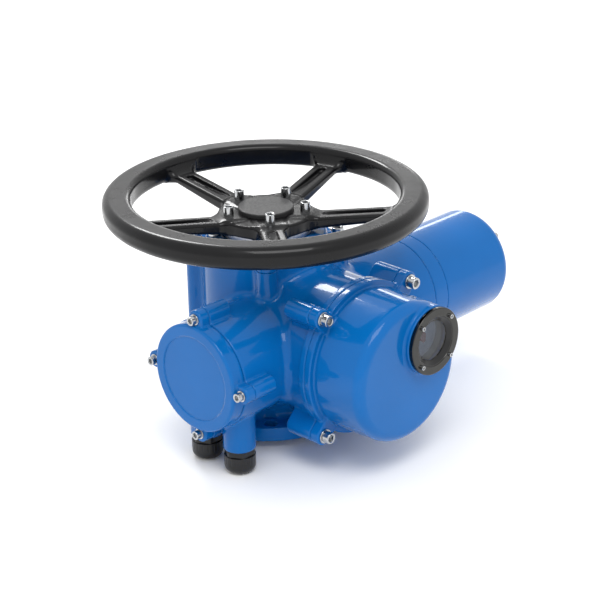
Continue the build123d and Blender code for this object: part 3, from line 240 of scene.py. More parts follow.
def polygon(axis, centre, sides, apothem, low, high, edge=0.0, turn=0.0):
    """A regular prism with an even number of sides."""
    a, b = flat_axes(axis)
    angles = [turn + 2 * math.pi * k / sides for k in range(sides // 2)]

    def shape(p):
        u, v = p[a] - centre[0], p[b] - centre[1]
        flat = np.maximum.reduce([np.abs(u * math.cos(t) + v * math.sin(t)) for t in angles]) - apothem
        return capped(flat, ends(p, axis, low, high), edge)
    return shape


def block(low, high, edge=0.0):
    """A box with rounded edges."""
    middle, half = (np.add(low, high) / 2)[:, None], (np.subtract(high, low) / 2)[:, None]

    def shape(p):
        q = np.abs(p - middle) - half + edge
        return np.linalg.norm(np.maximum(q, 0), axis=0) + np.minimum(q.max(axis=0), 0) - edge
    return shape


def ball(centre, radius):
    """A sphere."""
    middle = np.array(centre)[:, None]
    return lambda p: np.linalg.norm(p - middle, axis=0) - radius


def plane(normal, point):
    """Everything behind a plane whose normal points out."""
    n = np.array(normal, float)
    n /= np.linalg.norm(n)
    offset = n.dot(point)
    return lambda p: n[0] * p[0] + n[1] * p[1] + n[2] * p[2] - offset


def melt(d, e, radius):
    """The union of two distances, with a round fillet of the radius where they meet."""
    least = np.minimum(d, e)
    if radius <= 0:
        return least
    bend = radius - np.hypot(np.clip(radius - d, 0, 2 * radius), np.clip(radius - e, 0, 2 * radius))
    return np.where((d < radius) & (e < radius), np.minimum(least, bend), least)


def join(radius, *shapes):
    """Shapes cast together, each with a fillet where it meets the ones before it."""
    def shape(p):
        d = shapes[0](p)
        for other in shapes[1:]:
            d = melt(d, other(p), radius)
        return d
    return shape


def inverse(shape):
    """Everything outside a shape."""
    return lambda p: -shape(p)


def carve(radius, body, *tools):
    """A shape with the others cut out of it, the rims of each cut rounded."""
    return inverse(join(radius, inverse(body), *tools))


def common(radius, *shapes):
    """What all the shapes share, with rounded edges."""
    return inverse(join(radius, *[inverse(shape) for shape in shapes]))


def repeated(count, first, shape):
    """A shape that stands round the Z axis at even angles, given where it points along +X."""
    step = 2 * math.pi / count

    def folded(p):
        turn = np.arctan2(p[Y], p[X]) - first
        turn -= step * np.round(turn / step)
        reach = np.hypot(p[X], p[Y])
        return shape(np.stack([reach * np.cos(turn), reach * np.sin(turn), p[Z]]))
    return folded


def on_circle(centre, reach, angles):
    """Points on a bolt circle, in the two axes across its own."""
    return [(centre[0] + reach * math.cos(math.radians(t)), centre[1] + reach * math.sin(math.radians(t)))
            for t in angles]


def axes(s):
    """The output axis, the motor's and terminals' axis and the control axis, as points across them."""
    return (0, 0), (s.offset_x, s.axis_z), (0, s.axis_z)


def gland_places(s):
    """The left and the right cable gland, seen from above."""
    return [(s.offset_x - s.gland_step, s.gland_y), (s.offset_x + s.gland_step, s.gland_y)]


def window_place(s):
    """The middle of the sight window, across the control axis."""
    return s.window_y, s.axis_z + s.window_rise


def plug_place(s):
    """The oil plug, seen from above."""
    return on_circle((0, 0), s.plug_reach, [PLUG_ANGLE])[0]


# Skinning: a mesh on the zero level of a distance function

BLOCK = 8


def sampled(shape, low, counts, cell):
    """The distance on a grid of points, worked out finely only in the blocks that the surface passes."""
    blocks = [-(-n // BLOCK) for n in counts]
    corner = np.stack(np.meshgrid(*[np.arange(n) * BLOCK for n in blocks], indexing="ij"), -1).reshape(-1, 3)
    centre = low[:, None] + (corner.T + BLOCK / 2) * cell
    rough = shape(centre)
    near = np.abs(rough) < 1.6 * BLOCK * cell * math.sqrt(3) / 2
    grid = np.repeat(np.repeat(np.repeat(rough.reshape(blocks), BLOCK, 0), BLOCK, 1), BLOCK, 2)
    inner = np.stack(np.meshgrid(*[np.arange(BLOCK)] * 3, indexing="ij"), -1).reshape(-1, 3)
    index = (corner[near][:, None, :] + inner[None]).reshape(-1, 3)
    grid[tuple(index.T)] = shape(low[:, None] + index.T * cell)
    return grid[:counts[0], :counts[1], :counts[2]]


CORNERS = np.array([(1, -1, -1), (-1, -1, 1), (-1, 1, -1), (1, 1, 1)], float)


def slope_of(shape, p, reach):
    """The distance at points and the direction in which it grows, from the corners of a small tetrahedron."""
    values = [shape(p + corner[:, None] * reach) for corner in CORNERS]
    return sum(values) / 4, sum(v * corner[:, None] for v, corner in zip(values, CORNERS)) / (4 * reach)


def skin(shape, low, high, cell):
    """Points, quads and normals of the surface, by surface nets drawn onto the exact form."""
    cell *= 1
    low = np.array(low, float) - 2.5 * cell
    counts = [int(math.ceil((h + 2.5 * cell - l) / cell)) + 1 for l, h in zip(low, high)]
    grid = sampled(shape, low, counts, cell)
    inside = grid < 0
    total = sum(inside[i:counts[0] - 1 + i, j:counts[1] - 1 + j, k:counts[2] - 1 + k].astype(np.int8)
                for i in (0, 1) for j in (0, 1) for k in (0, 1))
    cells = np.argwhere((total > 0) & (total < 8))
    number = np.full(total.shape, -1, np.int64)
    number[tuple(cells.T)] = np.arange(len(cells))
    place, hits = np.zeros((len(cells), 3)), np.zeros(len(cells))
    for axis in (X, Y, Z):
        a, b = flat_axes(axis)
        for i in (0, 1):
            for j in (0, 1):
                start = cells.copy()
                start[:, a] += i
                start[:, b] += j
                end = start.copy()
                end[:, axis] += 1
                d, e = grid[tuple(start.T)], grid[tuple(end.T)]
                cut = (d < 0) != (e < 0)
                point = start.astype(float)
                point[cut, axis] += d[cut] / (d[cut] - e[cut])
                place[cut] += point[cut]
                hits += cut
    points = (low + place / hits[:, None] * cell).T
    for reach in (0.1, 0.02):
        value, slope = slope_of(shape, points, cell * reach)
        points = points - np.clip(value / np.maximum((slope ** 2).sum(0), 0.2), -cell, cell) * slope
    normals = slope_of(shape, points, cell * 0.15)[1]
    normals /= np.maximum(np.linalg.norm(normals, axis=0), 1e-9)
    quads = []
    for axis in (X, Y, Z):
        a, b = (axis + 1) % 3, (axis + 2) % 3
        first = [slice(1, n - 1) for n in counts]
        second = list(first)
        first[axis], second[axis] = slice(0, counts[axis] - 1), slice(1, counts[axis])
        changes = inside[tuple(first)] != inside[tuple(second)]
        edge = np.argwhere(changes)
        edge[:, a] += 1
        edge[:, b] += 1
        corners = []
        for i, j in ((-1, -1), (0, -1), (0, 0), (-1, 0)):
            around = edge.copy()
            around[:, a] += i
            around[:, b] += j
            corners.append(number[tuple(around.T)])
        quad = np.stack(corners, 1)
        outward = inside[tuple(edge.T)]
        quads.append(np.where(outward[:, None], quad, quad[:, ::-1]))
    return points.T, np.concatenate(quads), normals.T


def skinned_mesh(name, shape, low, high, cell):
    """A Blender mesh of a distance function, with the form's own normals."""
    points, quads, normals = skin(shape, low, high, cell)
    mesh = bpy.data.meshes.new(name)
    mesh.vertices.add(len(points))
    mesh.vertices.foreach_set("co", points.ravel())
    mesh.loops.add(quads.size)
    mesh.loops.foreach_set("vertex_index", quads.ravel())
    mesh.polygons.add(len(quads))
    mesh.polygons.foreach_set("loop_start", np.arange(0, quads.size, 4))
    mesh.update(calc_edges=True)
    mesh.validate()
    mesh.polygons.foreach_set("use_smooth", np.ones(len(mesh.polygons), bool))
    mesh.normals_split_custom_set_from_vertices(normals)
    return mesh


def add_piece(name, mesh, material, nodes=(), body=None, slot=None):
    """Links a mesh as a piece that rides on a body, in the place of the CAD nodes it stands for."""
    piece = bpy.data.objects.new(name, mesh)
    bpy.context.scene.collection.objects.link(piece)
    mesh.materials.append(material)
    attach(piece, body or body_of_node(nodes[0]))
    if nodes:
        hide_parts(*nodes)
        slot or slot_of_node(nodes[0])
    return piece


def body_of_node(node):
    """The body that a CAD node belongs to."""
    return next(b for b, members in frame["record"]["behaviour"]["bodies"].items() if node in members)


def slot_of_node(node):
    """The record's material slot of a CAD node."""
    return next(s["material_slot"] for s in frame["record"]["subparts"] if s["node"] == node)


def cast_piece(node, shape, cell, material):
    """Skins a shape inside a CAD node's box and shows it in that node's place."""
    low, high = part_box(node)
    mesh = skinned_mesh(node + "_skin", shape, np.array(low), np.array(high), cell)
    return add_piece(mesh.name, mesh, material, [node])


def copies(name, mesh, places):
    """One mesh that holds a copy of another at each place, normals included."""
    count = len(mesh.vertices)
    points, normals = np.empty(count * 3), np.empty(len(mesh.loops) * 3)
    mesh.vertices.foreach_get("co", points)
    loops = np.empty(len(mesh.loops), np.int64)
    mesh.loops.foreach_get("vertex_index", loops)
    mesh.corner_normals.foreach_get("vector", normals)
    points, normals = points.reshape(-1, 3), normals.reshape(-1, 3)
    all_points, all_loops, all_normals = [], [], []
    for k, place in enumerate(places):
        turn = np.array(place.to_3x3())
        all_points.append(points @ turn.T + np.array(place.translation))
        all_normals.append(normals @ turn.T)
        all_loops.append(loops + k * count)
    joined = bpy.data.meshes.new(name)
    joined.vertices.add(count * len(places))
    joined.vertices.foreach_set("co", np.concatenate(all_points).ravel())
    joined.loops.add(len(loops) * len(places))
    joined.loops.foreach_set("vertex_index", np.concatenate(all_loops))
    joined.polygons.add(len(mesh.polygons) * len(places))
    starts = np.empty(len(mesh.polygons), np.int64)
    mesh.polygons.foreach_get("loop_start", starts)
    starts = np.concatenate([starts + k * len(loops) for k in range(len(places))])
    joined.polygons.foreach_set("loop_start", starts)
    joined.update(calc_edges=True)
    joined.polygons.foreach_set("use_smooth", np.ones(len(joined.polygons), bool))
    joined.normals_split_custom_set(np.concatenate(all_normals))
    return joined


# Finishes

class Finish:
    """A node material in the making: a principled shader and short ways to add texture to it."""

    def __init__(self, name, colour_value, roughness, metallic=0.0):
        self.material = bpy.data.materials.new(name)
        self.material.use_nodes = True
        self.tree = self.material.node_tree
        self.shader = next(n for n in self.tree.nodes if n.type == "BSDF_PRINCIPLED")
        self.shader.inputs["Base Color"].default_value = (*colour_value[:3], 1)
        self.shader.inputs["Roughness"].default_value = roughness
        self.shader.inputs["Metallic"].default_value = metallic
        self.coords = self.node("ShaderNodeTexCoord").outputs["Object"]
        self.heights = []

    def node(self, kind, **values):
        """A new node, with its properties and unlinked inputs set by name."""
        made = self.tree.nodes.new(kind)
        for key, value in values.items():
            if hasattr(made, key):
                setattr(made, key, value)
            else:
                made.inputs[key.replace("_", " ")].default_value = value
        return made

    def link(self, source, target):
        self.tree.links.new(source, target)

    def set(self, **values):
        """Constants on the shader's own sockets."""
        for key, value in values.items():
            self.shader.inputs[key.replace("_", " ")].default_value = value
        return self

    def noise(self, scale, detail=3.0, stretch=None):
        """A noise of a wave count per metre, stretched along an axis where asked."""
        made = self.node("ShaderNodeTexNoise", Scale=scale, Detail=detail)
        if stretch:
            mapping = self.node("ShaderNodeMapping")
            mapping.inputs["Scale"].default_value = stretch
            self.link(self.coords, mapping.inputs["Vector"])
            self.link(mapping.outputs["Vector"], made.inputs["Vector"])
        else:
            self.link(self.coords, made.inputs["Vector"])
        return made.outputs["Fac"]

    def spread(self, source, low, high, start=0.3, stop=0.7):
        """Maps a texture's middle range to a range of values."""
        made = self.node("ShaderNodeMapRange")
        for key, value in (("From Min", start), ("From Max", stop), ("To Min", low), ("To Max", high)):
            made.inputs[key].default_value = value
        self.link(source, made.inputs["Value"])
        return made.outputs["Result"]

    def tint(self, source, first, second):
        """Base colour that runs between two colours with a texture."""
        made = self.node("ShaderNodeMix", data_type="RGBA")
        made.inputs[6].default_value = (*first[:3], 1)
        made.inputs[7].default_value = (*second[:3], 1)
        self.link(source, made.inputs[0])
        self.link(made.outputs[2], self.shader.inputs["Base Color"])
        return self

    def rough(self, source, low, high):
        """Roughness that varies with a texture."""
        self.link(self.spread(source, low, high), self.shader.inputs["Roughness"])
        return self

    def bump(self, source, depth, strength=1.0):
        """Adds a relief of a depth in metres on top of what is there."""
        made = self.node("ShaderNodeBump", Strength=strength, Distance=depth)
        self.link(source, made.inputs["Height"])
        if self.heights:
            self.link(self.heights[-1], made.inputs["Normal"])
        self.heights.append(made.outputs["Normal"])
        self.link(made.outputs["Normal"], self.shader.inputs["Normal"])
        return self


def shade(value, factor):
    """A colour made lighter or darker."""
    return [min(1.0, v * factor) for v in value[:3]]


def enamel(name, value):
    """Gloss enamel on a casting: deep colour, clear coat, faint orange peel and casting ripple."""
    f = Finish(name, value, 0.2)
    f.set(Coat_Weight=0.8, Coat_Roughness=0.03, Coat_IOR=1.3, Specular_IOR_Level=0.06)
    f.tint(f.spread(f.noise(9, 3), 0, 1), shade(value, 0.93), shade(value, 1.06))
    f.rough(f.noise(60, 4), 0.16, 0.26)
    f.bump(f.noise(38, 2), 0.0009, 0.10)
    f.bump(f.noise(260, 2), 0.00012, 0.10)
    return f.material


def powder_coat(name, value):
    """Half gloss black stoving paint with a fine orange peel, paler where hands and edges rub it."""
    f = Finish(name, value, 0.3).set(Coat_Weight=0.28, Coat_Roughness=0.08, Specular_IOR_Level=0.13)
    f.tint(f.spread(f.noise(26, 4), 0, 1), value, shade(value, 1.8))
    f.rough(f.noise(45, 5), 0.24, 0.38)
    f.bump(f.noise(70, 3), 0.0004, 0.12)
    f.bump(f.noise(700, 2), 0.00006, 0.25)
    return f.material


def plated(name, value):
    """Bright plated steel with fine drawn scratches."""
    f = Finish(name, value, 0.22, 1.0)
    f.tint(f.spread(f.noise(300, 3), 0, 1), shade(value, 0.82), shade(value, 1.08))
    f.rough(f.noise(900, 3, (1, 1, 9)), 0.1, 0.24)
    f.bump(f.noise(1500, 2, (1, 1, 12)), 0.00002, 0.3)
    return f.material


def turned(name, value, roughness=0.3, metallic=1.0):
    """Machined metal with the fine rings of the tool."""
    f = Finish(name, value, roughness, metallic)
    f.tint(f.spread(f.noise(120, 4), 0, 1), shade(value, 0.85), shade(value, 1.1))
    f.rough(f.noise(400, 3, (1, 1, 14)), roughness * 0.7, roughness * 1.3)
    f.bump(f.noise(1800, 2, (0.6, 0.6, 6)), 0.00002, 0.35)
    return f.material


def polished(name, value):
    """Polished chrome, faintly turned."""
    f = Finish(name, value, 0.1, 1.0)
    f.tint(f.spread(f.noise(60, 3), 0, 1), shade(value, 0.9), value)
    f.rough(f.noise(220, 4), 0.08, 0.16)
    f.bump(f.noise(900, 2, (9, 1, 1)), 0.00001, 0.2)
    return f.material


def moulded(name, value, roughness=0.4, gloss=0.0):
    """Moulded plastic with a fine spark texture."""
    f = Finish(name, value, roughness).set(Coat_Weight=gloss, Coat_Roughness=0.15, Specular_IOR_Level=0.25)
    f.tint(f.spread(f.noise(160, 3), 0, 1), shade(value, 0.88), shade(value, 1.15))
    f.rough(f.noise(500, 3), roughness * 0.8, roughness * 1.2)
    f.bump(f.noise(1600, 3), 0.00004, 0.35)
    return f.material


def rubbery(name, value):
    """Matt black rubber with a dusty bloom."""
    f = Finish(name, value, 0.7)
    f.tint(f.spread(f.noise(80, 5), 0, 1), value, shade(value, 2.2))
    f.rough(f.noise(300, 3), 0.6, 0.85)
    f.bump(f.noise(1200, 3), 0.00005, 0.4)
    return f.material


def smoked_glass(name, value):
    """Thick smoked glass."""
    f = Finish(name, value, 0.0).set(Transmission_Weight=1.0, IOR=1.45)
    f.rough(f.noise(90, 3), 0.0, 0.02)
    f.bump(f.noise(30, 2), 0.00004, 0.05)
    return f.material


def laminated(name, value):
    """A stack of thin steel sheets."""
    f = Finish(name, value, 0.45, 0.9)
    bands = f.node("ShaderNodeTexWave", bands_direction="Y", Scale=320.0, Distortion=0.3)
    f.link(f.coords, bands.inputs["Vector"])
    f.tint(f.spread(bands.outputs["Fac"], 0, 1), shade(value, 0.7), shade(value, 1.15))
    f.rough(f.noise(200, 3), 0.35, 0.55)
    f.bump(bands.outputs["Fac"], 0.00008, 0.4)
    return f.material


FINISHERS = {
    "blue_paint": enamel, "black_wheel": powder_coat, "black_lever": powder_coat, "bright_steel": plated,
    "turned_steel": turned, "bearing_steel": turned, "chrome_ring": polished, "window": smoked_glass,
    "black_rubber": rubbery, "bronze": turned, "brass_stud": turned, "copper": turned,
    "board_aluminium": turned, "core_steel": laminated,
}


def finish_of(slot):
    """The material of one of the record's slots, made once."""
    made = bpy.data.materials.get("finish_" + slot)
    if made:
        return made
    entry = next(m for m in frame["record"]["materials"] if m["slot"] == slot)
    colours = bpy.context.scene.actuator_colours
    chosen = {"blue_paint": colours.body, "black_wheel": colours.wheel, "black_lever": colours.wheel,
              # The chrome ring takes the bezel colour, which is painted dark to stand in for the dark
              # surroundings it reflects.
              "bright_steel": colours.zinc, "chrome_ring": colours.chrome,
              "window": colours.glass, "black_gland": colours.plastic,
              "black_knob": colours.plastic, "grey_cap": colours.cap}
    value = list(chosen.get(slot, entry["base_color"]))[:3]
    if slot in ("black_gland", "black_knob", "red_pointer"):
        return moulded("finish_" + slot, value, 0.35, 0.3)
    return FINISHERS.get(slot, moulded)("finish_" + slot, value)


# Pieces

def wheel_angles(wheel):
    """The angles of the spokes, in degrees."""
    return [math.degrees(wheel.first_angle) + 360 * k / wheel.spokes for k in range(wheel.spokes)]


class ACTUATOR_OT_casting(bpy.types.Operator):
    """Build the gear casting with its drums, ears, glands' bosses and fillets"""
    bl_idname = "actuator.casting"
    bl_label = "Gear casting"

    def execute(self, context):
        s = context.scene.actuator_casting
        stem, side, control = axes(s)
        flange = drum(Z, stem, s.flange_r, 0, s.flange_h, s.edge)
        neck = drum(Z, stem, s.neck_r, 1 * MM, 60 * MM)
        tower = drum(Z, stem, s.tower_r, 46 * MM, s.tower_top, s.machined)
        posts = [join(0, drum(Z, at, s.post_r, s.post_low, s.tower_top, s.machined),
                      ball((*at, s.post_low), s.post_r)) for at in on_circle(stem, s.post_reach, DIAGONALS)]
        control_drum = drum(X, control, s.control_r, 0, s.control_joint - 1 * MM)
        control_rim = drum(X, control, s.control_rim, s.control_joint - 8 * MM, s.control_joint, 1.2 * MM)
        control_ears = [ear(X, control, at, s.control_ear, s.control_joint - 34 * MM, s.control_joint, s.edge)
                        for at in on_circle(control, s.control_reach, DIAGONALS)]
        terminal_drum = drum(Y, side, s.terminal_r, -s.terminal_joint, 0, 1.2 * MM)
        joint = -s.terminal_joint
        terminal_ears = [ear(Y, side, at, s.terminal_ear, joint, joint + 30 * MM, s.edge)
                         for at in on_circle(side, s.terminal_reach, QUARTERS)]
        motor = drum(Y, side, s.motor_r, 0, s.motor_joint, 1.2 * MM)
        bosses = [drum(Z, at, 17.5 * MM, s.gland_low, 70 * MM, s.edge) for at in gland_places(s)]
        lever = (0, s.lever_z)
        lever_boss = drum(Y, lever, 22 * MM, 60 * MM, 80 * MM, s.edge)
        body = join(s.fillet, join(6 * MM, flange, neck), tower, join(0, *posts), control_drum, terminal_drum,
                    motor, lever_boss)
        body = join(3 * MM, body, *terminal_ears, *bosses)
        body = join(3 * MM, body, *control_ears)
        body = join(1.5 * MM, body, control_rim)
        body = join(s.machined, body, drum(Z, stem, 62.5 * MM, -3.5 * MM, 5 * MM, 0.5 * MM))
        tower_bores = [(s.bore_r, 40, 200), (42.5 * MM, 24, 41), (40 * MM, 11, 25), (34 * MM, -6, 25),
                       (50 * MM, -9, 4)]
        side_bores = [(27 * MM, -59, 71), (26 * MM, -74, -58), (31 * MM, 70, 87), (50 * MM, 86, 137),
                      (44 * MM, 86, 160), (s.terminal_bore, -145, -84)]
        hollows = [drum(axis, at, radius, low * MM, high * MM)
                   for axis, at, bores in ((Z, stem, tower_bores), (Y, side, side_bores))
                   for radius, low, high in bores]
        hollows += [drum(X, control, s.control_bore, 86 * MM, 140 * MM),
                    drum(X, (0, 62 * MM), 5.1 * MM, 50 * MM, 88 * MM),
                    drum(Y, lever, 12 * MM, 40 * MM, 85 * MM)]
        hollows += [drum(Z, at, 12.5 * MM, 10 * MM, 72 * MM) for at in gland_places(s)]
        bolts = on_circle(stem, 80 * MM, DIAGONALS)
        holes = [drum(Z, at, 7 * MM, -4 * MM, 26 * MM) for at in bolts]
        spot_faces = [drum(Z, at, 13 * MM, 16.5 * MM, 26 * MM) for at in bolts]
        body = carve(s.machined, body, *hollows, *holes)
        body = carve(s.machined, body, *spot_faces)
        cast_piece("main_housing", body, s.cell, finish_of("blue_paint"))
        return {"FINISHED"}


class ACTUATOR_OT_covers(bpy.types.Operator):
    """Build the tower's cover, the control cover and the terminal cover"""
    bl_idname = "actuator.covers"
    bl_label = "Covers"

    def execute(self, context):
        s = context.scene.actuator_casting
        stem, side, control = axes(s)
        paint = finish_of("blue_paint")
        top = s.tower_top
        ears = [ear(Z, stem, at, s.post_r, top, top + 7 * MM, 1.2 * MM)
                for at in on_circle(stem, s.post_reach, DIAGONALS)]
        body = join(2.5 * MM, drum(Z, stem, s.tower_r, top, top + 7 * MM, 1.2 * MM), *ears,
                    drum(Z, stem, 65 * MM, top, top + 16 * MM, 3 * MM))
        body = join(0, body, drum(Z, stem, s.bore_r - 0.05 * MM, top - 8 * MM, top + 2 * MM))
        body = carve(s.machined, body, drum(Z, stem, 50 * MM, top - 10 * MM, top + 12 * MM),
                     drum(Z, stem, 40 * MM, top, top + 20 * MM),
                     drum(Z, plug_place(s), 4 * MM, top + 4 * MM, top + 20 * MM))
        cast_piece("top_cover", body, s.cover_cell, paint)

        joint, window, face = s.control_joint, window_place(s), s.window_seat
        shell = drum(X, control, 78 * MM, joint + 2 * MM, 205 * MM, 11 * MM, far=76 * MM)
        shell = join(2.5 * MM, shell, drum(X, control, s.control_rim, joint, joint + 8 * MM, 1.2 * MM))
        shell = join(2.5 * MM, shell, *[ear(X, control, at, s.control_ear, joint, joint + s.cover_ear, s.edge)
                                        for at in on_circle(control, s.control_reach, DIAGONALS)])
        shell = join(3 * MM, shell, drum(X, window, 37.6 * MM, 175 * MM, face, 1 * MM))
        shell = carve(s.machined, shell, drum(X, control, s.control_bore, joint - 9 * MM, 199 * MM, 5 * MM),
                      drum(X, window, 25 * MM, 170 * MM, 215 * MM),
                      drum(X, window, 28 * MM, face - 7.5 * MM, face + 4 * MM))
        cast_piece("control_cover", shell, s.cover_cell, paint)

        joint = s.terminal_joint
        lid = drum(Y, side, 59 * MM, -joint - 17 * MM, -joint, 3 * MM)
        lid = join(s.machined, lid, drum(Y, side, 59 * MM, -joint - 5 * MM, -joint, 1.2 * MM))
        lid = join(2 * MM, lid, *[ear(Y, side, at, s.terminal_ear, -joint - s.cover_ear, -joint, s.edge)
                                  for at in on_circle(side, s.terminal_reach, QUARTERS)])
        lid = carve(1.0 * MM, lid, drum(Y, side, 46 * MM, -joint - 20 * MM, -joint - 15.8 * MM))
        lid = carve(0.5 * MM, lid, drum(Y, side, s.terminal_bore, -joint - 11 * MM, -joint + 9 * MM))
        cast_piece("terminal_cover", lid, s.cover_cell, paint)
        return {"FINISHED"}


class ACTUATOR_OT_motor(bpy.types.Operator):
    """Build the motor's ring and its closed tube"""
    bl_idname = "actuator.motor"
    bl_label = "Motor"

    def execute(self, context):
        s = context.scene.actuator_casting
        side, joint = axes(s)[1], s.motor_joint
        paint = finish_of("blue_paint")
        ring = join(0, drum(Y, side, s.motor_r, joint, joint + 21 * MM, 1.0 * MM),
                    drum(Y, side, 43.95 * MM, joint - 6 * MM, joint + 1 * MM),
                    drum(Y, side, 53.4 * MM, joint + 20 * MM, joint + 26 * MM))
        ring = carve(0, ring, drum(Y, side, 26 * MM, joint + 10 * MM, joint + 30 * MM),
                     drum(Y, side, 14 * MM, joint - 9 * MM, joint + 22 * MM),
                     drum(Y, side, 36 * MM, joint - 9 * MM, joint + 4 * MM))
        cast_piece("motor_flange", ring, 1.6 * MM, paint)

        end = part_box("motor_housing")[1].y
        tail = drum(Y, side, s.motor_r, joint + 21 * MM, end, 1.0 * MM)
        tail = common(0, tail, drum(Y, side, s.motor_r, joint - 30 * MM, end, 12 * MM))
        ties = on_circle(side, TIE_REACH, DIAGONALS)
        tail = carve(s.machined, tail, drum(Y, side, 53.5 * MM, joint, end - 8 * MM))
        tail = join(1.5 * MM, tail, drum(Y, side, 28.5 * MM, end - 23 * MM, end - 4 * MM),
                    *[drum(Y, at, 6 * MM, end - 16 * MM, end - 5 * MM) for at in ties])
        tail = carve(s.machined, tail, drum(Y, side, 23.5 * MM, end - 30 * MM, end - 8 * MM),
                     *[drum(Y, at, 6 * MM, end - 4 * MM, end + 9 * MM) for at in ties],
                     *[drum(Y, at, 3.3 * MM, end - 30 * MM, end) for at in ties])
        cast_piece("motor_housing", tail, 1.6 * MM, paint)
        return {"FINISHED"}


class ACTUATOR_OT_handwheel(bpy.types.Operator):
    """Build the five-spoked handwheel and its cap"""
    bl_idname = "actuator.handwheel"
    bl_label = "Handwheel"

    def execute(self, context):
        w = context.scene.actuator_wheel
        middle_r, middle_z = (w.rim_r + w.rim_in) / 2, w.rim_top - w.rim_high / 2
        half_r, half_z = (w.rim_r - w.rim_in) / 2, w.rim_high / 2

        def rim(p):
            u, v = np.hypot(p[X], p[Y]) - middle_r, p[Z] - middle_z
            corner = np.where(u > 0, 10 * MM, 6.5 * MM)
            a, b = np.abs(u) - half_r + corner, np.abs(v) - half_z + corner
            return np.minimum(np.maximum(a, b), 0) + np.hypot(np.maximum(a, 0), np.maximum(b, 0)) - corner

        low_end = w.rim_top - w.rim_high + 3 * MM
        upper = plane((-w.spoke_rise, 0, 72 * MM), (58 * MM, 0, w.hub_top))
        under = plane((low_end - w.hub_low, 0, -104 * MM), (52 * MM, 0, w.hub_low))
        bar = block((0, -w.spoke_w / 2, w.hub_low - 30 * MM), (152 * MM, w.spoke_w / 2, w.rim_top))
        bar = common(3.5 * MM, bar, upper, under)
        centre = (w.hub_r + w.rim_in) / 2 - 2 * MM
        half = (w.rim_in - w.hub_r - 24 * MM) / 2 - w.groove_w / 2
        floor_z = w.hub_top + w.spoke_rise / 2 - w.groove_deep
        trough = ear(Z, (centre - half, 0), (centre + half, 0), w.groove_w / 2, floor_z, w.rim_top + 9 * MM,
                     1 * MM)
        slant = plane((w.spoke_rise, 0, -72 * MM), (centre, 0, floor_z))
        groove = repeated(w.spokes, w.first_angle, common(2.5 * MM, trough, slant))
        hub = drum(Z, (0, 0), w.hub_r, w.hub_low, w.hub_top, 2.5 * MM)
        wheel = join(10 * MM, hub, repeated(w.spokes, w.first_angle, bar))
        wheel = join(11 * MM, wheel, rim)
        wheel = carve(1.2 * MM, wheel, groove)
        wheel = common(0, wheel, plane((0, 0, 1), (0, 0, w.rim_top)), plane((0, 0, -1), (0, 0, w.hub_low)))
        wheel = carve(0.8 * MM, wheel, drum(Z, (0, 0), 27 * MM, w.hub_low - 9 * MM, w.hub_top + 9 * MM))
        cast_piece("handwheel", wheel, w.cell, finish_of("black_wheel"))

        cap = join(0, drum(Z, (0, 0), 30 * MM, w.hub_top, w.hub_top + 6 * MM, 1.5 * MM),
                   tube(Z, (0, 0), 26.95 * MM, 23 * MM, w.hub_top - 8 * MM, w.hub_top + 1 * MM))
        cast_piece("handwheel_cap", cap, 0.7 * MM, finish_of("grey_cap"))
        return {"FINISHED"}


def turned_mesh(name, outline, steps=32):
    """A solid turned round the Z axis from its outline of (radius, height) points, bottom first."""
    angles = [2 * math.pi * k / steps for k in range(steps)]
    points = [(r * math.cos(t), r * math.sin(t), z) for r, z in outline for t in angles]
    faces = [list(range(steps))[::-1], [(len(outline) - 1) * steps + k for k in range(steps)]]
    for row in range(len(outline) - 1):
        for k in range(steps):
            a, b = row * steps + k, row * steps + (k + 1) % steps
            faces.append([a, b, b + steps, a + steps])
    mesh = bpy.data.meshes.new(name)
    mesh.from_pydata(points, [], faces)
    mesh.shade_flat()
    return mesh


def screw_shape(size, washer=True, tall=1.0):
    """The head of a socket screw that stands on the local XY plane, over its washer where it has one."""
    base, high = size * 0.2 if washer else 0, size * tall
    head = drum(Z, (0, 0), size * (0.78 if tall == 1 else 0.67), base, base + high, size * 0.09)
    socket = polygon(Z, (0, 0), 6, size * 0.42, base + high - size * 0.55, base + high + size * 0.6)
    rim = drum(Z, (0, 0), size * 0.5, base + high - size * 0.05, base + high + size * 0.6, 0, far=size * 1.2)
    shape = carve(size * 0.03, head, socket, rim)
    shape = join(0, shape, drum(Z, (0, 0), size / 2 - 0.05 * MM, -size * 0.3, base + 0.1 * MM))
    if washer:
        shape = join(0, shape, tube(Z, (0, 0), size, size / 2 + 0.05 * MM, 0, base, size * 0.05))
    return shape


def screw_set(node, size, shank, places, washer=True, tall=1.0):
    """Shows a set of screws in the place of their CAD node."""
    height = size * (tall + 0.2 if washer else tall)
    head = skinned_mesh(node + "_head", screw_shape(size, washer, tall), (-size, -size, -size * 0.3),
                        (size, size, height), size * 0.06)
    radius = size / 2 - 0.06 * MM
    bolt = turned_mesh(node + "_shank", [(radius - size * 0.1, -shank), (radius, -shank + size * 0.1),
                                         (radius, -size * 0.25)])
    joined = copies(node + "_set", head, places)
    shanks = copies(node + "_shanks", bolt, places)
    for made in (joined, shanks):
        add_piece(made.name, made, finish_of("bright_steel"), [node])


def facing(axis, sign, across, along, turn=0.0):
    """The place of a screw whose head looks along an axis: its two coordinates across, and its seat."""
    out = [0.0, 0.0, 0.0]
    a, b = flat_axes(axis)
    out[a], out[b], out[axis] = across[0], across[1], along
    direction = [0.0, 0.0, 0.0]
    direction[axis] = sign
    turned_place = Vector(direction).to_track_quat("Z", "Y").to_matrix().to_4x4()
    return Matrix.Translation(out) @ turned_place @ Matrix.Rotation(turn, 4, "Z")


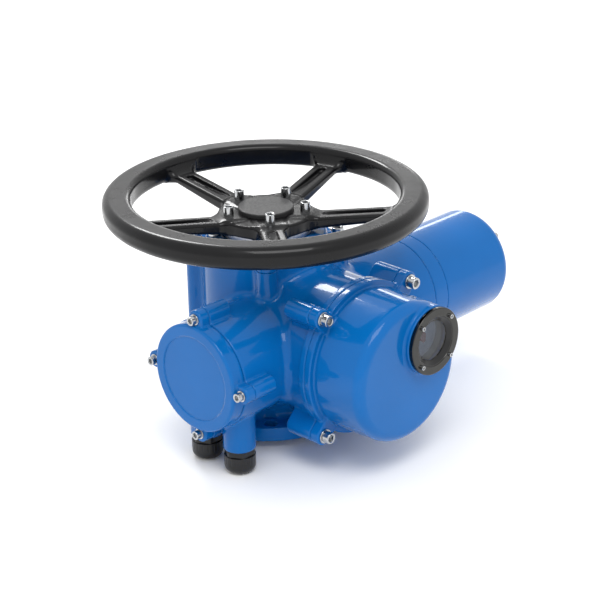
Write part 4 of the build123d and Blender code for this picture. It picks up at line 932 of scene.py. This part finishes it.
class ACTUATOR_OT_fasteners(bpy.types.Operator):
    """Build the socket head screws, their washers and the oil plug"""
    bl_idname = "actuator.fasteners"
    bl_label = "Screws and plug"

    def execute(self, context):
        s, w = context.scene.actuator_casting, context.scene.actuator_wheel
        stem, side, control = axes(s)
        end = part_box("motor_housing")[1].y
        rows = [
            ("top_cover_screws", 8, 23, True, Z, 1, on_circle(stem, s.post_reach, DIAGONALS),
             s.tower_top + 7 * MM),
            ("control_cover_screws", 8, 28, True, X, 1, on_circle(control, s.control_reach, DIAGONALS),
             s.control_joint + s.cover_ear),
            ("terminal_cover_screws", 6, 26, True, Y, -1, on_circle(side, s.terminal_reach, QUARTERS),
             -s.terminal_joint - s.cover_ear),
            ("handwheel_screws", 8, 19, False, Z, 1, on_circle(stem, w.bolt_reach, wheel_angles(w)),
             w.hub_top),
            ("bezel_screws", 3, 11, False, X, 1, on_circle(window_place(s), 31 * MM, DIAGONALS),
             s.window_seat + 5 * MM),
            ("motor_tie_screws", 6, 143, False, Y, 1, on_circle(side, TIE_REACH, DIAGONALS), end - 4 * MM),
        ]
        for node, size, shank, washer, axis, sign, points, seat in rows:
            places = [facing(axis, sign, at, seat, turn=0.4 + 1.3 * k) for k, at in enumerate(points)]
            tall = 1.6 if node == "handwheel_screws" else 1.0
            screw_set(node, size * MM, shank * MM, places, washer, tall)
        plug, seat = plug_place(s), s.tower_top + 16 * MM
        shape = join(0, drum(Z, plug, 7 * MM, seat, seat + 3 * MM, 0.7 * MM),
                     drum(Z, plug, 3.95 * MM, seat - 11 * MM, seat + 1 * MM))
        shape = carve(0.2 * MM, shape, polygon(Z, plug, 6, 3 * MM, seat + 1 * MM, seat + 6 * MM))
        cast_piece("oil_plug", shape, 0.45 * MM, finish_of("bright_steel"))
        return {"FINISHED"}


class ACTUATOR_OT_window(bpy.types.Operator):
    """Build the sight window's chrome bezel, its inner cone and the glass"""
    bl_idname = "actuator.window"
    bl_label = "Sight window"

    def execute(self, context):
        s = context.scene.actuator_casting
        at, seat = window_place(s), s.window_seat
        bezel = drum(X, at, 36.5 * MM, seat, seat + 5 * MM, 0.9 * MM)
        bezel = carve(0.3 * MM, bezel, drum(X, at, 25 * MM, seat - 3 * MM, seat + 1.5 * MM, 0),
                      drum(X, at, 25 * MM, seat + 1.5 * MM, seat + 5.1 * MM, 0, far=27.6 * MM))
        cast_piece("window_bezel", bezel, 0.7 * MM, finish_of("chrome_ring"))
        glass = drum(X, at, 27.95 * MM, seat - 6 * MM, seat, 0.5 * MM)
        cast_piece("window_glass", glass, 0.8 * MM, finish_of("window"))
        cone = drum(X, at, 27.5 * MM, seat + 0.05 * MM, seat + 4.3 * MM, 0.4 * MM)
        cone = carve(0.3 * MM, cone,
                     drum(X, at, 20.5 * MM, seat - 0.4 * MM, seat + 4.6 * MM, 0, far=26.6 * MM))
        low = (seat, at[0] - 28 * MM, at[1] - 28 * MM)
        high = (seat + 5 * MM, at[0] + 28 * MM, at[1] + 28 * MM)
        mesh = skinned_mesh("window_cone", cone, low, high, 0.7 * MM)
        add_piece("window_cone", mesh, finish_of("black_gland"), body="casing")
        return {"FINISHED"}


class ACTUATOR_OT_glands(bpy.types.Operator):
    """Build the two cable glands with their ribbed clamping nuts"""
    bl_idname = "actuator.glands"
    bl_label = "Cable glands"

    def execute(self, context):
        s = context.scene.actuator_casting
        plastic = finish_of("black_gland")
        seat = s.gland_low
        for side, at in zip(("left", "right"), gland_places(s)):
            nut = common(0.8 * MM, polygon(Z, at, 6, 15 * MM, seat - 7 * MM, seat, 0.5 * MM),
                         drum(Z, at, 16.5 * MM, seat - 7 * MM, seat, 0.6 * MM))
            body = join(0.6 * MM, nut, drum(Z, at, 12.45 * MM, seat - 1 * MM, seat + 36 * MM))
            body = join(0, body, drum(Z, at, 13 * MM, seat - 16 * MM, seat - 5 * MM, 0.4 * MM))
            body = carve(0.3 * MM, body, drum(Z, at, 11 * MM, seat - 20 * MM, seat + 50 * MM))
            cast_piece(f"gland_body_{side}", body, 0.7 * MM, plastic)
            top = seat - 7.05 * MM
            cap = drum(Z, at, 16.8 * MM, top - 20 * MM, top + 9 * MM, 8 * MM)
            cap = common(0.5 * MM, cap, plane((0, 0, 1), (0, 0, top)))
            ribs = [drum(Z, p, 0.6 * MM, top - 9 * MM, top + 9 * MM, 0.3 * MM)
                    for p in on_circle(at, 17.1 * MM, range(0, 360, 20))]
            cap = carve(0.3 * MM, cap, *ribs)
            cap = carve(0.6 * MM, cap, drum(Z, at, 13.05 * MM, top - 13 * MM, top + 9 * MM),
                        drum(Z, at, 8.5 * MM, top - 25 * MM, top))
            cast_piece(f"gland_cap_{side}", cap, 0.6 * MM, plastic)
        return {"FINISHED"}


class ACTUATOR_OT_lever(bpy.types.Operator):
    """Build the declutch lever and its knob"""
    bl_idname = "actuator.lever"
    bl_label = "Declutch lever"

    def execute(self, context):
        pivot, low, high = (0, context.scene.actuator_casting.lever_z), 82 * MM, 100 * MM
        middle, drop = (low + high) / 2, math.radians(20)
        out = np.array([-math.cos(drop), 0, -math.sin(drop)])
        start = np.array([pivot[0], middle, pivot[1]])
        reach = 92 * MM

        def arm(p):
            q = p - start[:, None]
            along = out @ q
            t = np.clip(along, 0, reach)
            across = np.linalg.norm(q - out[:, None] * t, axis=0)
            thick = 8 * MM - 3 * MM * t / reach
            return capped(across - thick, np.abs(along - reach / 2) - reach / 2, 0.5 * MM)

        hub = drum(Y, pivot, 16.5 * MM, low, high, 2.5 * MM)
        lever = join(4 * MM, hub, arm)
        lever = carve(0.6 * MM, lever, drum(Y, pivot, 9.05 * MM, low - 9 * MM, high + 9 * MM))
        cast_piece("declutch_lever", lever, 0.9 * MM, finish_of("black_lever"))
        tip = start + out * (reach + 1 * MM)
        knob = carve(0.5 * MM, ball(tip, 13 * MM), lambda p: arm(p) - 0.3 * MM)
        cast_piece("lever_knob", knob, 0.8 * MM, finish_of("black_knob"))
        return {"FINISHED"}


class ACTUATOR_OT_inner_pieces(bpy.types.Operator):
    """Give each piece that is carried over from the packed model its own finish"""
    bl_idname = "actuator.inner_pieces"
    bl_label = "Inner pieces"

    def execute(self, context):
        for node, piece in frame["nodes"].items():
            if piece.hide_render:
                continue
            piece.data.materials.clear()
            piece.data.materials.append(finish_of(slot_of_node(node)))
        return {"FINISHED"}


def softbox(name, place, aim, size, power):
    """A flat light that looks at a point."""
    light = bpy.data.lights.new(name, "AREA")
    light.shape = "RECTANGLE"
    light.size, light.size_y, light.energy = size[0], size[1], power
    lamp = bpy.data.objects.new(name, light)
    lamp.location = place
    lamp.rotation_mode = "QUATERNION"
    lamp.rotation_quaternion = (Vector(aim) - Vector(place)).to_track_quat("-Z", "Y")
    bpy.context.scene.collection.objects.link(lamp)


class ACTUATOR_OT_stage(bpy.types.Operator):
    """Set up the pale floor, the soft lights and the camera"""
    bl_idname = "actuator.stage"
    bl_label = "Floor, lights and camera"

    def execute(self, context):
        s = context.scene.actuator_stage
        a, e = s.azimuth, s.elevation
        back = Vector((math.sin(a) * math.cos(e), -math.cos(a) * math.cos(e), math.sin(e)))
        right = Vector((math.cos(a), math.sin(a), 0))
        up = back.cross(right)
        across = right * math.cos(s.roll) - up * math.sin(s.roll)
        upward = up * math.cos(s.roll) + right * math.sin(s.roll)
        camera = bpy.data.objects.new("camera", bpy.data.cameras.new("camera"))
        camera.data.lens = s.lens
        camera.data.clip_end = 50
        camera.matrix_world = Matrix((across, upward, back)).transposed().to_4x4()
        camera.location = Vector(s.target) + back * s.distance
        context.scene.collection.objects.link(camera)
        context.scene.camera = camera

        floor_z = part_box("gland_cap_left")[0].z - 0.0005
        plate = bpy.data.meshes.new("floor")
        corners = [(x, y, floor_z) for x, y in ((-9, -9), (9, -9), (9, 9), (-9, 9))]
        plate.from_pydata(corners, [], [(0, 1, 2, 3)])
        floor = bpy.data.objects.new("floor", plate)
        context.scene.collection.objects.link(floor)
        pale = Finish("finish_floor", context.scene.actuator_colours.floor, 0.8)
        pale.tint(pale.spread(pale.noise(3, 3), 0, 1), shade(context.scene.actuator_colours.floor, 0.985),
                  context.scene.actuator_colours.floor)
        plate.materials.append(pale.material)

        world = bpy.data.worlds.new("studio")
        world.use_nodes = True
        ground = next(n for n in world.node_tree.nodes if n.type == "BACKGROUND")
        ground.inputs["Color"].default_value = (1, 1, 1, 1)
        ground.inputs["Strength"].default_value = s.ambient
        context.scene.world = world
        middle = Vector((0.02, 0.0, 0.12))
        softbox("box_over_drum", middle + Vector((-1.26, 0.6, 1.33)), middle, (0.5, 0.4), s.key)
        softbox("strip_behind", middle + Vector((-1.29, 1.42, 0.52)), middle, (0.7, 0.2), s.key * 0.15)
        softbox("front_box", middle + Vector((1.0, -0.65, 1.8)), middle, (1.2, 0.9), s.key * 1.4)
        context.scene.view_settings.view_transform = "Standard"
        return {"FINISHED"}


OPERATORS = (ACTUATOR_OT_casting, ACTUATOR_OT_covers, ACTUATOR_OT_motor, ACTUATOR_OT_handwheel,
             ACTUATOR_OT_fasteners, ACTUATOR_OT_window, ACTUATOR_OT_glands, ACTUATOR_OT_lever,
             ACTUATOR_OT_inner_pieces, ACTUATOR_OT_stage)


class ACTUATOR_PT_panel(bpy.types.Panel):
    """The actuator's sizes, colours and building steps"""
    bl_idname = "ACTUATOR_PT_panel"
    bl_label = "Valve actuator"
    bl_space_type = "VIEW_3D"
    bl_region_type = "UI"
    bl_category = "Actuator"

    def draw(self, context):
        for name, group in GROUPS.items():
            box = self.layout.box()
            box.label(text=group.__doc__)
            for key in group.__annotations__:
                box.prop(getattr(context.scene, name), key, text=key.replace("_", " ").capitalize())
        for operator in OPERATORS:
            self.layout.operator(operator.bl_idname)


def register():
    """Registers the properties, operators and panel."""
    for name, group in GROUPS.items():
        bpy.utils.register_class(group)
        setattr(bpy.types.Scene, name, bpy.props.PointerProperty(type=group))
    for cls in (*OPERATORS, ACTUATOR_PT_panel):
        bpy.utils.register_class(cls)


def unregister():
    """Removes what register added."""
    for cls in (ACTUATOR_PT_panel, *reversed(OPERATORS)):
        bpy.utils.unregister_class(cls)
    for name, group in GROUPS.items():
        delattr(bpy.types.Scene, name)
        bpy.utils.unregister_class(group)


def main():
    """Builds every piece and the stage."""
    register()
    for operator in OPERATORS:
        group, name = operator.bl_idname.split(".")
        getattr(getattr(bpy.ops, group), name)()


if __name__ == "__main__":
    main()
